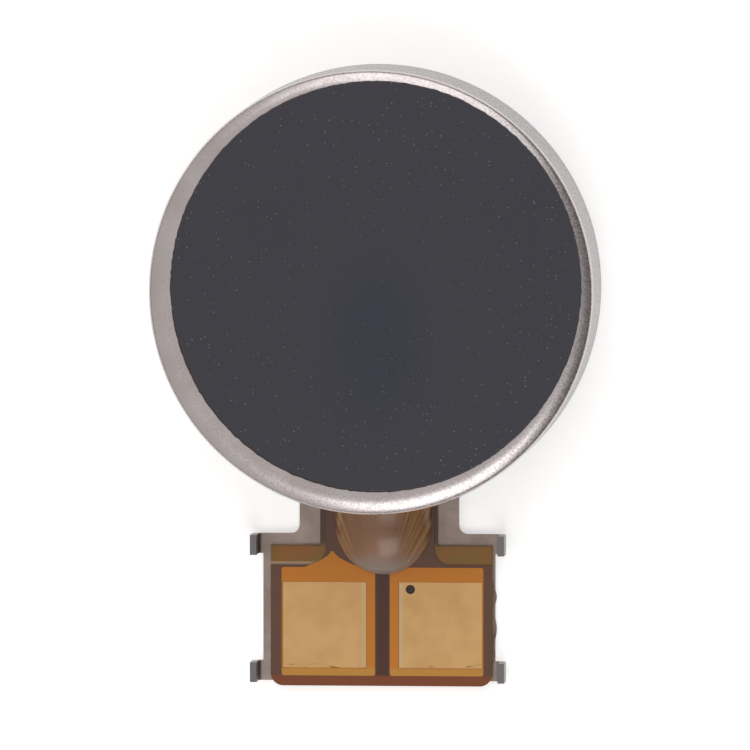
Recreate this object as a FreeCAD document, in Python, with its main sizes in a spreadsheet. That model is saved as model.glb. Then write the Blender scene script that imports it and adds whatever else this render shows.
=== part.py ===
import FreeCAD, Part
import os
import Sketcher

# Flat coin vibration motor with a bracket tongue that carries two spring-contact pads.
# Millimetres. The origin is the rotor axis at the underside of the bracket, +Z points to the
# face that is stuck down, and the tongue points along -Y.

SIZES = {
    # Drawn can
    "case_diameter": 10.0,
    "case_height": 2.6,
    "case_wall": 0.2,
    "case_edge_radius": 0.25,
    "case_inner_radius": 0.1,
    "seat_clearance": 0.02,
    "notch_clearance": 0.05,
    # Laser weld nuggets on the seam between can and bracket
    "weld_count": 4,
    "weld_radius": 0.15,
    "weld_depth": 0.08,
    "weld_angle": 45.0,
    # Bracket: one stamped sheet with a disc, a neck, a tongue and four bent ears
    "bracket_thickness": 0.15,
    "neck_width": 3.6,
    "neck_reach": 0.59,
    "neck_fillet": 0.2,
    "tongue_width": 5.24,
    "tongue_length": 3.32,
    "ear_width": 0.45,
    "ear_relief": 0.02,
    "ear_height": 0.8,
    "ear_bend_radius": 0.08,
    "hub_wall": 0.25,
    "hub_height": 0.47,
    # Flexible circuit: glue, base film, copper, coverlay and gold-plated lands
    "flex_glue_thickness": 0.04,
    "flex_glue_squeeze": 0.06,
    "film_thickness": 0.05,
    "copper_thickness": 0.02,
    "coverlay_thickness": 0.03,
    "gold_thickness": 0.02,
    "flex_neck_margin": 0.475,
    "flex_left_margin": 0.18,
    "flex_right_margin": 0.06,
    "flex_top_margin": 0.26,
    "flex_overhang": 0.11,
    "flex_corner_radius": 0.28,
    "flex_hub_gap": 0.08,
    "land_gap": 0.3,
    "land_gap_shift": 0.024,
    "land_left_margin": 0.245,
    "land_right_margin": 0.195,
    "land_top_margin": 0.49,
    "land_bottom_margin": 0.23,
    "gold_inner_margin": 0.215,
    "gold_outer_margin": 0.02,
    "gold_end_margin": 0.17,
    "gold_top_margin": 0.33,
    "via_radius": 0.1,
    "via_inset_x": 0.265,
    "via_inset_y": 0.165,
    "trace_width": 0.25,
    "trace_left_inset": 0.984,
    "trace_right_inset": 0.405,
    "trace_fillet_left": 0.4,
    "trace_fillet_right": 0.2,
    # Shaft, washers and bearing
    "shaft_diameter": 0.8,
    "shaft_clearance": 0.02,
    "washer_thickness": 0.06,
    "washer_width": 0.25,
    "bush_wall": 0.33,
    "end_play": 0.05,
    # Magnet
    "magnet_glue_thickness": 0.02,
    "magnet_thickness": 0.65,
    "magnet_wall_gap": 0.45,
    "magnet_brush_gap": 0.15,
    "air_gap": 0.14,
    # Brushes
    "brush_width": 0.36,
    "brush_thickness": 0.05,
    "brush_clearance": 0.02,
    "brush_foot_length": 0.45,
    "brush_foot_gap": 0.55,
    "brush_crest_length": 0.1,
    "brush_tip_length": 0.2,
    "brush_tip_drop": 0.1,
    "solder_thickness": 0.03,
    "solder_margin": 0.04,
    "brush_land_margin": 0.1,
    # Rotor
    "rotor_wall_gap": 0.4,
    "rotor_top_gap": 0.3,
    "rotor_angle": 210.0,
    "board_thickness": 0.15,
    "board_rim": 0.15,
    "segment_count": 9,
    "segment_gap_angle": 4.0,
    "segment_thickness": 0.02,
    "commutator_gap": 0.15,
    "commutator_width": 0.9,
    "coil_radius": 1.3,
    "coil_hole_radius": 0.45,
    "coil_rim_gap": 0.1,
    "coil_angle": 66.0,
    "coil_cover": 0.12,
    "weight_width": 2.0,
    "weight_angle": 66.0,
    "weight_proud": 0.06,
    "moulding_hub_wall": 0.5,
    # Seal at the neck and the adhesive film on the face
    "seal_reach": 1.5,
    "seal_height": 0.75,
    "seal_waist_reach": 0.5,
    "seal_waist_height": 0.375,
    "seal_angle": 28.0,
    "face_film_radius": 4.63,
    "face_film_thickness": 0.07,
    "face_glue_thickness": 0.03,
    "face_glue_margin": 0.05,
    "face_offset_x": 0.16,
    "face_offset_y": 0.18,
}

# How close counts as the same place, in mm, and the least a cut must remove, in mm3
CLOSE = 1e-4
LEAST_CUT = 1e-6

# Heights, from the underside of the bracket upwards
BRACKET_TOP = "Sizes.bracket_thickness"
FLEX_GLUE_TOP = f"({BRACKET_TOP} + Sizes.flex_glue_thickness)"
FILM_TOP = f"({FLEX_GLUE_TOP} + Sizes.film_thickness)"
COPPER_TOP = f"({FILM_TOP} + Sizes.copper_thickness)"
COVERLAY_TOP = f"({COPPER_TOP} + Sizes.coverlay_thickness)"
MAGNET_BOTTOM = f"({COVERLAY_TOP} + Sizes.magnet_glue_thickness)"
MAGNET_TOP = f"({MAGNET_BOTTOM} + Sizes.magnet_thickness)"
SEGMENT_BOTTOM = f"({MAGNET_TOP} + Sizes.air_gap)"
BOARD_BOTTOM = f"({SEGMENT_BOTTOM} + Sizes.segment_thickness)"
BOARD_TOP = f"({BOARD_BOTTOM} + Sizes.board_thickness)"
CASE_CEILING = "(Sizes.case_height - Sizes.case_wall)"
MOULDING_TOP = f"({CASE_CEILING} - Sizes.rotor_top_gap)"
COIL_TOP = f"({MOULDING_TOP} - Sizes.coil_cover)"
WEIGHT_TOP = f"({MOULDING_TOP} + Sizes.weight_proud)"
HUB_TOP = f"({BRACKET_TOP} + Sizes.hub_height)"
BUSH_BOTTOM = f"({HUB_TOP} + Sizes.washer_thickness + Sizes.end_play)"
BUSH_TOP = f"({CASE_CEILING} - Sizes.washer_thickness - Sizes.end_play)"
BRUSH_BOTTOM = f"({COPPER_TOP} + Sizes.solder_thickness)"
BRUSH_TOP = f"({SEGMENT_BOTTOM} - Sizes.brush_clearance)"
FACE_GLUE_TOP = "(Sizes.case_height + Sizes.face_glue_thickness)"

# Radii, from the axis outwards
SHAFT_RADIUS = "(Sizes.shaft_diameter / 2)"
HUB_RADIUS = f"({SHAFT_RADIUS} + Sizes.hub_wall)"
RUNNING_BORE = f"({SHAFT_RADIUS} + Sizes.shaft_clearance)"
WASHER_RADIUS = f"({RUNNING_BORE} + Sizes.washer_width)"
BUSH_RADIUS = f"({RUNNING_BORE} + Sizes.bush_wall)"
COMMUTATOR_INNER = f"({BUSH_RADIUS} + Sizes.commutator_gap)"
COMMUTATOR_OUTER = f"({COMMUTATOR_INNER} + Sizes.commutator_width)"
BRUSH_LINE = f"({COMMUTATOR_INNER} + Sizes.commutator_width / 2)"
BRUSH_FOOT_END = "(Sizes.brush_foot_gap + Sizes.brush_foot_length)"
BRUSH_REACH = f"hypot({BRUSH_LINE} + Sizes.brush_width / 2; {BRUSH_FOOT_END})"
MAGNET_BORE = f"({BRUSH_REACH} + Sizes.magnet_brush_gap)"
CASE_RADIUS = "(Sizes.case_diameter / 2)"
CASE_BORE = f"({CASE_RADIUS} - Sizes.case_wall)"
BRACKET_RADIUS = f"({CASE_BORE} - Sizes.seat_clearance)"
MAGNET_RADIUS = f"({CASE_BORE} - Sizes.magnet_wall_gap)"
ROTOR_RADIUS = f"({CASE_BORE} - Sizes.rotor_wall_gap)"

# Places across the tongue
HALF_NECK = "(Sizes.neck_width / 2)"
HALF_TONGUE = "(Sizes.tongue_width / 2)"
EAR_OUTER = (f"({HALF_TONGUE} + Sizes.ear_relief + Sizes.ear_bend_radius"
             " + Sizes.bracket_thickness)")
EAR_INNER = f"({EAR_OUTER} - Sizes.bracket_thickness)"
FLEX_HALF_NECK = f"({HALF_NECK} - Sizes.flex_neck_margin)"
FLEX_LEFT = f"(-{HALF_TONGUE} + Sizes.flex_left_margin)"
FLEX_RIGHT = f"({HALF_TONGUE} - Sizes.flex_right_margin)"
LAND_MIDDLE = f"(({FLEX_LEFT} + {FLEX_RIGHT}) / 2 + Sizes.land_gap_shift)"

# Places along the tongue, all below the axis in Y
SHOULDER_Y = f"(-{CASE_RADIUS} - Sizes.neck_reach)"
TONGUE_END_Y = f"({SHOULDER_Y} - Sizes.tongue_length)"
FLEX_TOP_Y = f"({SHOULDER_Y} - Sizes.flex_top_margin)"
FLEX_END_Y = f"({TONGUE_END_Y} - Sizes.flex_overhang)"
LAND_TOP_Y = f"({FLEX_TOP_Y} - Sizes.land_top_margin)"
LAND_END_Y = f"({FLEX_END_Y} + Sizes.land_bottom_margin)"
GOLD_TOP_Y = f"({LAND_TOP_Y} - Sizes.gold_top_margin)"
GOLD_END_Y = f"({LAND_END_Y} + Sizes.gold_end_margin)"

doc = FreeCAD.newDocument("CoinMotor")
nodes = []


def fill_sheet():
    """Writes the driving dimensions into the spreadsheet, one alias for each."""
    sheet = doc.addObject("Spreadsheet::Sheet", "Sizes")
    for row, (name, value) in enumerate(SIZES.items(), start=1):
        sheet.set(f"A{row}", name)
        sheet.set(f"B{row}", str(value))
        sheet.setAlias(f"B{row}", name)
    doc.recompute()


def new_body(label):
    """A body for one sub-part, listed among the nodes to write."""
    body = doc.addObject("PartDesign::Body", label)
    body.Label = label
    nodes.append(body)
    return body


def new_sketch(body, role="XY_Plane", offset=None):
    """A sketch on one of the body's own origin planes, moved along the plane's normal."""
    plane = next(item for item in body.Origin.OriginFeatures if item.Role == role)
    sketch = body.newObject("Sketcher::SketchObject", f"{body.Name}_sketch")
    sketch.AttachmentSupport = [(plane, "")]
    sketch.MapMode = "FlatFace"
    if offset is not None:
        sketch.setExpression("AttachmentOffset.Base.z", offset)
    return sketch


def place_point(sketch, index, point, x, y):
    """Ties a point of the sketch to its distances from the origin."""
    for kind, value in (("DistanceX", x), ("DistanceY", y)):
        start = float(sketch.evalExpression(value))
        tie = sketch.addConstraint(Sketcher.Constraint(kind, -1, 1, index, point, start))
        sketch.setExpression(f"Constraints[{tie}]", value)


def draw_circle(sketch, radius, x=None, y=None):
    """A circle of the given radius, at the origin unless a centre is given."""
    size = float(sketch.evalExpression(radius))
    circle = Part.Circle(FreeCAD.Vector(0, 0, 0), FreeCAD.Vector(0, 0, 1), size)
    index = sketch.addGeometry(circle, False)
    tie = sketch.addConstraint(Sketcher.Constraint("Radius", index, size))
    sketch.setExpression(f"Constraints[{tie}]", radius)
    if x is None:
        sketch.addConstraint(Sketcher.Constraint("Coincident", index, 3, -1, 1))
    else:
        place_point(sketch, index, 3, x, y)


def draw_outline(sketch, points):
    """A closed outline of straight lines, each corner tied to its two distances."""
    corners = [FreeCAD.Vector(*(float(sketch.evalExpression(v)) for v in p), 0) for p in points]
    first = sketch.GeometryCount
    last = first + len(corners) - 1
    for corner, following in zip(corners, corners[1:] + corners[:1]):
        sketch.addGeometry(Part.LineSegment(corner, following), False)
    for index, (x, y) in enumerate(points, start=first):
        following = first if index == last else index + 1
        sketch.addConstraint(Sketcher.Constraint("Coincident", index, 2, following, 1))
        place_point(sketch, index, 1, x, y)


def draw_rectangle(sketch, x_low, y_low, x_high, y_high):
    """A closed rectangle between two corners."""
    draw_outline(sketch, [(x_low, y_low), (x_high, y_low), (x_high, y_high), (x_low, y_high)])


def add_feature(body, kind, sketch, **sizes):
    """A feature of the body made from a sketch, with its sizes bound to expressions."""
    feature = body.newObject(f"PartDesign::{kind}", f"{body.Name}_{kind}")
    feature.Profile = sketch
    for name, value in sizes.items():
        feature.setExpression(name, value)
    sketch.Visibility = False
    return feature


def pad(body, sketch, length):
    """A pad of the sketch along its normal."""
    return add_feature(body, "Pad", sketch, Length=length)


def pocket(body, sketch, length, upwards=False):
    """A pocket that cuts against the sketch's normal, or along it if upwards is set."""
    doc.recompute()
    before = body.Shape.Volume
    feature = add_feature(body, "Pocket", sketch, Length=length)
    feature.Reversed = upwards
    doc.recompute()
    if body.Shape.Volume > before - LEAST_CUT:
        raise RuntimeError(f"{feature.Name} cuts nothing")
    return feature


def turn(body, role, points, angle=None):
    """Revolves a profile of (radius, height) about the axis, centred on the sketch's plane."""
    sketch = new_sketch(body, role)
    draw_outline(sketch, points)
    feature = body.newObject("PartDesign::Revolution", f"{body.Name}_Revolution")
    feature.Profile = sketch
    feature.ReferenceAxis = (sketch, ["V_Axis"])
    feature.Midplane = angle is not None
    feature.Angle = 360.0
    if angle is not None:
        feature.setExpression("Angle", angle)
    sketch.Visibility = False
    return feature


def ring_profile(inner, outer, low, high):
    """The section of a ring: a rectangle between two radii and two heights."""
    return [(inner, low), (outer, low), (outer, high), (inner, high)]


def repeat_around(body, feature, count):
    """Copies a feature evenly around the axis."""
    axis = next(item for item in body.Origin.OriginFeatures if item.Role == "Z_Axis")
    pattern = body.newObject("PartDesign::PolarPattern", f"{body.Name}_PolarPattern")
    pattern.Originals = [feature]
    pattern.Axis = (axis, [""])
    pattern.Angle = 360
    pattern.setExpression("Occurrences", count)
    body.Tip = pattern


def round_edges(body, radius, chosen):
    """Fillets the edges of the body that the given test picks out by their middle point."""
    doc.recompute()
    base = body.Tip
    edges = base.Shape.Edges
    names = [f"Edge{i}" for i, edge in enumerate(edges, start=1) if chosen(edge)]
    if not names:
        raise RuntimeError(f"no edge to round on {body.Label}")
    fillet = body.newObject("PartDesign::Fillet", f"{body.Name}_Fillet")
    fillet.Base = (base, names)
    fillet.setExpression("Radius", radius)
    doc.recompute()


def number(expression):
    """The value of an expression, as a plain number."""
    return float(doc.getObject("Sizes").evalExpression(expression))


def near(value, expression):
    """Whether a place in the model is where the expression says."""
    return abs(value - number(expression)) < CLOSE


def upright_at(x, y):
    """A test for the upright edge at a place in X and Y."""

    def chosen(edge):
        ends = [vertex.Point for vertex in edge.Vertexes]
        is_upright = len(ends) == 2 and abs(ends[0].z - ends[1].z) > CLOSE
        return is_upright and all(near(p.x, x) and near(p.y, y) for p in ends)

    return chosen


def circle_at(radius, height):
    """A test for the full circle of a radius at a height about the axis."""

    def chosen(edge):
        is_circle = isinstance(edge.Curve, Part.Circle)
        return is_circle and near(edge.Curve.Radius, radius) and near(edge.Curve.Center.z, height)

    return chosen


def weld_circle(body):
    """The first weld nugget's circle, on the seam between the can and the bracket."""
    sketch = new_sketch(body)
    x = f"{CASE_BORE} * cos(Sizes.weld_angle)"
    y = f"{CASE_BORE} * sin(Sizes.weld_angle)"
    draw_circle(sketch, "Sizes.weld_radius", x, y)
    return sketch


def cut_welds(body):
    """Removes the nuggets' places from a piece that they join."""
    first = pocket(body, weld_circle(body), "Sizes.weld_depth", upwards=True)
    repeat_around(body, first, "Sizes.weld_count")


def make_case_cover():
    """The drawn can: a cup that opens downwards, with a notch for the neck."""
    body = new_body("case_cover")
    outline = [
        (CASE_BORE, "0"),
        (CASE_RADIUS, "0"),
        (CASE_RADIUS, "Sizes.case_height"),
        ("0", "Sizes.case_height"),
        ("0", CASE_CEILING),
        (CASE_BORE, CASE_CEILING),
    ]
    turn(body, "XZ_Plane", outline)
    round_edges(body, "Sizes.case_edge_radius", circle_at(CASE_RADIUS, "Sizes.case_height"))
    round_edges(body, "Sizes.case_inner_radius", circle_at(CASE_BORE, CASE_CEILING))
    notch = new_sketch(body, "XZ_Plane")
    half_width = f"({HALF_NECK} + Sizes.notch_clearance)"
    top = f"({COVERLAY_TOP} + Sizes.notch_clearance)"
    draw_rectangle(notch, f"-{half_width}", "-Sizes.notch_clearance", half_width, top)
    pocket(body, notch, f"{CASE_RADIUS} + Sizes.notch_clearance", upwards=True)
    cut_welds(body)


def make_weld_nuggets():
    """The spots of fused metal that hold the can to the bracket."""
    body = new_body("weld_nuggets")
    first = pad(body, weld_circle(body), "Sizes.weld_depth")
    repeat_around(body, first, "Sizes.weld_count")


def add_ear(body, side, y_low):
    """One ear: a short link and an upright wall, bent up from the edge of the tongue."""
    y_high = f"({y_low} + Sizes.ear_width)"
    outer = f"({side} * {EAR_OUTER})"
    inner = f"({side} * {EAR_INNER})"
    root = f"({side} * ({HALF_TONGUE} - Sizes.bracket_thickness))"
    sketch = new_sketch(body, "XZ_Plane", f"-{y_high}")
    points = [
        (root, "0"),
        (outer, "0"),
        (outer, "Sizes.ear_height"),
        (inner, "Sizes.ear_height"),
        (inner, BRACKET_TOP),
        (root, BRACKET_TOP),
    ]
    draw_outline(sketch, points)
    pad(body, sketch, "Sizes.ear_width")


def make_bracket():
    """The stamped bracket: disc, neck, tongue, four ears and the drawn hub for the shaft."""
    body = new_body("bracket")
    disc = new_sketch(body)
    draw_circle(disc, BRACKET_RADIUS)
    pad(body, disc, BRACKET_TOP)
    outline = new_sketch(body)
    points = [
        (f"-{HALF_NECK}", "0"),
        (f"-{HALF_NECK}", SHOULDER_Y),
        (f"-{HALF_TONGUE}", SHOULDER_Y),
        (f"-{HALF_TONGUE}", TONGUE_END_Y),
        (HALF_TONGUE, TONGUE_END_Y),
        (HALF_TONGUE, SHOULDER_Y),
        (HALF_NECK, SHOULDER_Y),
        (HALF_NECK, "0"),
    ]
    draw_outline(outline, points)
    pad(body, outline, BRACKET_TOP)
    for side in ("-1", "1"):
        round_edges(body, "Sizes.neck_fillet", upright_at(f"{side} * {HALF_NECK}", SHOULDER_Y))
    for side in ("-1", "1"):
        add_ear(body, side, f"({SHOULDER_Y} - Sizes.ear_width)")
        add_ear(body, side, TONGUE_END_Y)
    round_ear_bends(body)
    hub = new_sketch(body, offset=BRACKET_TOP)
    draw_circle(hub, HUB_RADIUS)
    pad(body, hub, "Sizes.hub_height")
    bore = new_sketch(body)
    draw_circle(bore, SHAFT_RADIUS)
    pocket(body, bore, HUB_TOP, upwards=True)
    cut_welds(body)


def round_ear_bends(body):
    """The inside and the outside of each ear's bend."""
    bends = (
        (EAR_OUTER, "0", "Sizes.ear_bend_radius + Sizes.bracket_thickness"),
        (EAR_INNER, BRACKET_TOP, "Sizes.ear_bend_radius"),
    )
    for x, z, radius in bends:

        def along_bend(edge):
            ends = [vertex.Point for vertex in edge.Vertexes]
            is_level = len(ends) == 2 and abs(ends[0].y - ends[1].y) > CLOSE
            return is_level and all(near(abs(p.x), x) and near(p.z, z) for p in ends)

        round_edges(body, radius, along_bend)


def flex_shape(body, low, thickness, squeeze="0"):
    """One layer of the flexible circuit: a disc under the magnet, a neck and the pad area."""
    disc = new_sketch(body, offset=low)
    draw_circle(disc, MAGNET_RADIUS)
    pad(body, disc, thickness)
    strip = new_sketch(body, offset=low)
    right = f"({FLEX_RIGHT} + {squeeze})"
    points = [
        (f"-{FLEX_HALF_NECK}", "0"),
        (f"-{FLEX_HALF_NECK}", FLEX_TOP_Y),
        (FLEX_LEFT, FLEX_TOP_Y),
        (FLEX_LEFT, FLEX_END_Y),
        (right, FLEX_END_Y),
        (right, FLEX_TOP_Y),
        (FLEX_HALF_NECK, FLEX_TOP_Y),
        (FLEX_HALF_NECK, "0"),
    ]
    draw_outline(strip, points)
    pad(body, strip, thickness)
    for x in (FLEX_LEFT, right):
        round_edges(body, "Sizes.flex_corner_radius", upright_at(x, FLEX_END_Y))
    hole = new_sketch(body, offset=low)
    draw_circle(hole, f"{HUB_RADIUS} + Sizes.flex_hub_gap")
    pocket(body, hole, thickness, upwards=True)


def land_edges(side):
    """The inner and outer X of the copper land on one side of the tongue."""
    inner = f"({LAND_MIDDLE} + {side} * Sizes.land_gap / 2)"
    if side == "-1":
        return inner, f"({FLEX_LEFT} + Sizes.land_left_margin)"
    return inner, f"({FLEX_RIGHT} - Sizes.land_right_margin)"


def gold_edges(side):
    """The inner and outer X of the gold-plated window on one side of the tongue."""
    inner, outer = land_edges(side)
    inner = f"({inner} + {side} * Sizes.gold_inner_margin)"
    outer = f"({outer} - {side} * Sizes.gold_outer_margin)"
    return inner, outer


def draw_via(body, low):
    """The small plated hole in the upper inner corner of the right land."""
    sketch = new_sketch(body, offset=low)
    x = f"({gold_edges('1')[0]} + Sizes.via_inset_x)"
    y = f"({GOLD_TOP_Y} - Sizes.via_inset_y)"
    draw_circle(sketch, "Sizes.via_radius", x, y)
    return sketch


def brush_land(sketch, side, margin):
    """A rectangle about the foot of one brush, with a margin all round."""
    reach = f"(Sizes.brush_width / 2 + {margin})"
    middle = f"{side} * {BRUSH_LINE}"
    low = f"(-{BRUSH_FOOT_END} - {margin})"
    high = f"(-Sizes.brush_foot_gap + {margin})"
    draw_rectangle(sketch, f"({middle} - {reach})", low, f"({middle} + {reach})", high)


def make_copper(label, side, inset, fillet):
    """One conductor: the contact land, its trace up the neck and the brush's land."""
    body = new_body(label)
    inner, outer = land_edges(side)
    trace = f"({inner} + {side} * {inset})"
    land = new_sketch(body, offset=FILM_TOP)
    draw_rectangle(land, inner, LAND_END_Y, outer, LAND_TOP_Y)
    pad(body, land, "Sizes.copper_thickness")
    half = "Sizes.trace_width / 2"
    brush = f"{side} * {BRUSH_LINE}"
    bend_y = f"(-{MAGNET_RADIUS})"
    end_y = f"(-{BRUSH_FOOT_END})"
    path = [(trace, LAND_TOP_Y), (trace, bend_y), (brush, end_y)]
    outline = [(f"({x} - {half})", y) for x, y in path]
    outline += [(f"({x} + {half})", y) for x, y in reversed(path)]
    strip = new_sketch(body, offset=FILM_TOP)
    draw_outline(strip, outline)
    pad(body, strip, "Sizes.copper_thickness")
    foot = new_sketch(body, offset=FILM_TOP)
    brush_land(foot, side, "Sizes.brush_land_margin")
    pad(body, foot, "Sizes.copper_thickness")
    for x in (f"{trace} - {half}", f"{trace} + {half}"):
        round_edges(body, fillet, upright_at(x, LAND_TOP_Y))
    if side == "1":
        pocket(body, draw_via(body, FILM_TOP), "Sizes.copper_thickness", upwards=True)
    return body


def make_gold_pad(label, side):
    """The gold-plated land that a spring contact presses on."""
    body = new_body(label)
    inner, outer = gold_edges(side)
    sketch = new_sketch(body, offset=COPPER_TOP)
    draw_rectangle(sketch, inner, GOLD_END_Y, outer, GOLD_TOP_Y)
    pad(body, sketch, "Sizes.gold_thickness")
    if side == "1":
        pocket(body, draw_via(body, COPPER_TOP), "Sizes.gold_thickness", upwards=True)


def make_coverlay(coppers):
    """The amber cover film, moulded over the copper and open over the lands."""
    blank = new_body("coverlay_blank")
    nodes.remove(blank)
    thickness = "Sizes.copper_thickness + Sizes.coverlay_thickness"
    flex_shape(blank, FILM_TOP, thickness)
    pocket(blank, draw_via(blank, FILM_TOP), thickness, upwards=True)
    for side in ("-1", "1"):
        inner, outer = gold_edges(side)
        window = new_sketch(blank, offset=COPPER_TOP)
        draw_rectangle(window, inner, GOLD_END_Y, outer, GOLD_TOP_Y)
        pocket(blank, window, "Sizes.coverlay_thickness", upwards=True)
        opening = new_sketch(blank, offset=COPPER_TOP)
        brush_land(opening, side, "Sizes.solder_margin")
        pocket(blank, opening, "Sizes.coverlay_thickness", upwards=True)
    conductors = doc.addObject("Part::MultiFuse", "conductors")
    conductors.Shapes = coppers
    coverlay = doc.addObject("Part::Cut", "coverlay")
    coverlay.Label = "coverlay"
    coverlay.Base = blank
    coverlay.Tool = conductors
    nodes.append(coverlay)


def make_flex():
    """The flexible circuit and the glue that holds it to the bracket."""
    flex_shape(new_body("flex_glue"), BRACKET_TOP, "Sizes.flex_glue_thickness",
               squeeze="Sizes.flex_glue_squeeze")
    flex_shape(new_body("flex_film"), FLEX_GLUE_TOP, "Sizes.film_thickness")
    left = make_copper("copper_left", "-1", "Sizes.trace_left_inset", "Sizes.trace_fillet_left")
    right = make_copper("copper_right", "1", "Sizes.trace_right_inset", "Sizes.trace_fillet_right")
    make_coverlay([left, right])
    make_gold_pad("gold_pad_left", "-1")
    make_gold_pad("gold_pad_right", "1")


def make_ring(label, inner, outer, low, high):
    """A plain turned ring, or a rod when the inner radius is zero."""
    body = new_body(label)
    turn(body, "XZ_Plane", ring_profile(inner, outer, low, high))


def make_bearing():
    """The fixed shaft, the two thrust washers and the sintered bush that turns."""
    make_ring("shaft", "0", SHAFT_RADIUS, "0", CASE_CEILING)
    washer = "Sizes.washer_thickness"
    make_ring("lower_washer", RUNNING_BORE, WASHER_RADIUS, HUB_TOP, f"{HUB_TOP} + {washer}")
    make_ring("upper_washer", RUNNING_BORE, WASHER_RADIUS, f"{CASE_CEILING} - {washer}",
              CASE_CEILING)
    make_ring("bearing_bush", RUNNING_BORE, BUSH_RADIUS, BUSH_BOTTOM, BUSH_TOP)


def make_magnet():
    """The ring magnet and the glue under it."""
    make_ring("magnet_glue", MAGNET_BORE, MAGNET_RADIUS, COVERLAY_TOP, MAGNET_BOTTOM)
    make_ring("ring_magnet", MAGNET_BORE, MAGNET_RADIUS, MAGNET_BOTTOM, MAGNET_TOP)


def make_brush(label, side):
    """A leaf spring: a flat foot, a slope and a crest that wipes the commutator."""
    body = new_body(label)
    sketch = new_sketch(body, "YZ_Plane", f"{side} * {BRUSH_LINE} - Sizes.brush_width / 2")
    thick = "Sizes.brush_thickness"
    half_crest = "Sizes.brush_crest_length / 2"
    low = BRUSH_BOTTOM
    high = f"({BRUSH_TOP} - {thick})"
    line = [
        (f"-{BRUSH_FOOT_END}", low),
        ("-Sizes.brush_foot_gap", low),
        (f"-{half_crest}", high),
        (half_crest, high),
        (f"{half_crest} + Sizes.brush_tip_length", f"({high} - Sizes.brush_tip_drop)"),
    ]
    outline = line + [(y, f"({z} + {thick})") for y, z in reversed(line)]
    draw_outline(sketch, outline)
    pad(body, sketch, "Sizes.brush_width")


def make_brush_solder(label, side):
    """The solder between a brush's foot and its copper land."""
    body = new_body(label)
    sketch = new_sketch(body, offset=COPPER_TOP)
    brush_land(sketch, side, "0")
    pad(body, sketch, "Sizes.solder_thickness")


def make_brushes():
    """The two brushes, each soldered to its land."""
    for name, side in (("left", "-1"), ("right", "1")):
        make_brush(f"brush_{name}", side)
        make_brush_solder(f"brush_solder_{name}", side)


def make_commutator():
    """Plated segments on the underside of the rotor board."""
    body = new_body("commutator")
    profile = ring_profile(COMMUTATOR_INNER, COMMUTATOR_OUTER, SEGMENT_BOTTOM, BOARD_BOTTOM)
    segment = turn(body, "YZ_Plane", profile, "360 / Sizes.segment_count - Sizes.segment_gap_angle")
    repeat_around(body, segment, "Sizes.segment_count")


def make_rotor_board():
    """The rotor's circuit board: a hub ring and a fan under the coils and the weight."""
    body = new_body("rotor_board")
    ring = ring_profile(BUSH_RADIUS, f"{COMMUTATOR_OUTER} + Sizes.board_rim", BOARD_BOTTOM,
                        BOARD_TOP)
    turn(body, "YZ_Plane", ring)
    fan = ring_profile(BUSH_RADIUS, ROTOR_RADIUS, BOARD_BOTTOM, BOARD_TOP)
    turn(body, "YZ_Plane", fan, "Sizes.rotor_angle")


def make_coil(label, side):
    """A flat winding of enamelled wire, set to one side of the weight."""
    body = new_body(label)
    sketch = new_sketch(body, offset=BOARD_TOP)
    reach = f"({ROTOR_RADIUS} - Sizes.coil_rim_gap - Sizes.coil_radius)"
    x = f"{side} * {reach} * sin(Sizes.coil_angle)"
    y = f"{reach} * cos(Sizes.coil_angle)"
    for radius in ("Sizes.coil_radius", "Sizes.coil_hole_radius"):
        draw_circle(sketch, radius, x, y)
    pad(body, sketch, f"{COIL_TOP} - {BOARD_TOP}")
    return body


def make_weight():
    """The tungsten alloy block that puts the rotor out of balance."""
    body = new_body("eccentric_weight")
    inner = f"({ROTOR_RADIUS} - Sizes.weight_width)"
    turn(body, "YZ_Plane", ring_profile(inner, ROTOR_RADIUS, BOARD_TOP, WEIGHT_TOP),
         "Sizes.weight_angle")
    return body


def make_moulding(inserts):
    """The resin moulded on the board around the bush, the coils and the weight."""
    blank = new_body("moulding_blank")
    nodes.remove(blank)
    hub = ring_profile(BUSH_RADIUS, f"{BUSH_RADIUS} + Sizes.moulding_hub_wall", BOARD_TOP,
                       MOULDING_TOP)
    turn(blank, "YZ_Plane", hub)
    fan = ring_profile(BUSH_RADIUS, ROTOR_RADIUS, BOARD_TOP, MOULDING_TOP)
    turn(blank, "YZ_Plane", fan, "Sizes.rotor_angle")
    cores = doc.addObject("Part::MultiFuse", "moulding_inserts")
    cores.Shapes = inserts
    moulding = doc.addObject("Part::Cut", "rotor_moulding")
    moulding.Label = "rotor_moulding"
    moulding.Base = blank
    moulding.Tool = cores
    nodes.append(moulding)


def make_rotor():
    """Everything that turns with the bush, apart from the bush itself."""
    make_commutator()
    make_rotor_board()
    coils = [make_coil("coil_left", "-1"), make_coil("coil_right", "1")]
    make_moulding(coils + [make_weight()])


def make_seal():
    """The bead of cured adhesive that seals the notch and holds the neck of the circuit."""
    body = new_body("seal_glue")
    toe = f"{CASE_RADIUS} + Sizes.seal_reach"
    waist = f"{CASE_RADIUS} + Sizes.seal_waist_reach"
    top = f"{COVERLAY_TOP} + Sizes.seal_height"
    middle = f"{COVERLAY_TOP} + Sizes.seal_waist_height"
    profile = [(CASE_RADIUS, COVERLAY_TOP), (toe, COVERLAY_TOP), (waist, middle),
               (CASE_RADIUS, top)]
    turn(body, "YZ_Plane", [(f"-({radius})", z) for radius, z in profile], "Sizes.seal_angle")


def make_face():
    """The black film stuck on the can, slightly off its centre, and the glue under it."""
    layers = (
        ("face_glue", "Sizes.case_height", "Sizes.face_glue_thickness",
         "Sizes.face_film_radius - Sizes.face_glue_margin"),
        ("face_film", FACE_GLUE_TOP, "Sizes.face_film_thickness", "Sizes.face_film_radius"),
    )
    for label, low, thickness, radius in layers:
        body = new_body(label)
        sketch = new_sketch(body, offset=low)
        draw_circle(sketch, radius, "Sizes.face_offset_x", "Sizes.face_offset_y")
        pad(body, sketch, thickness)


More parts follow.
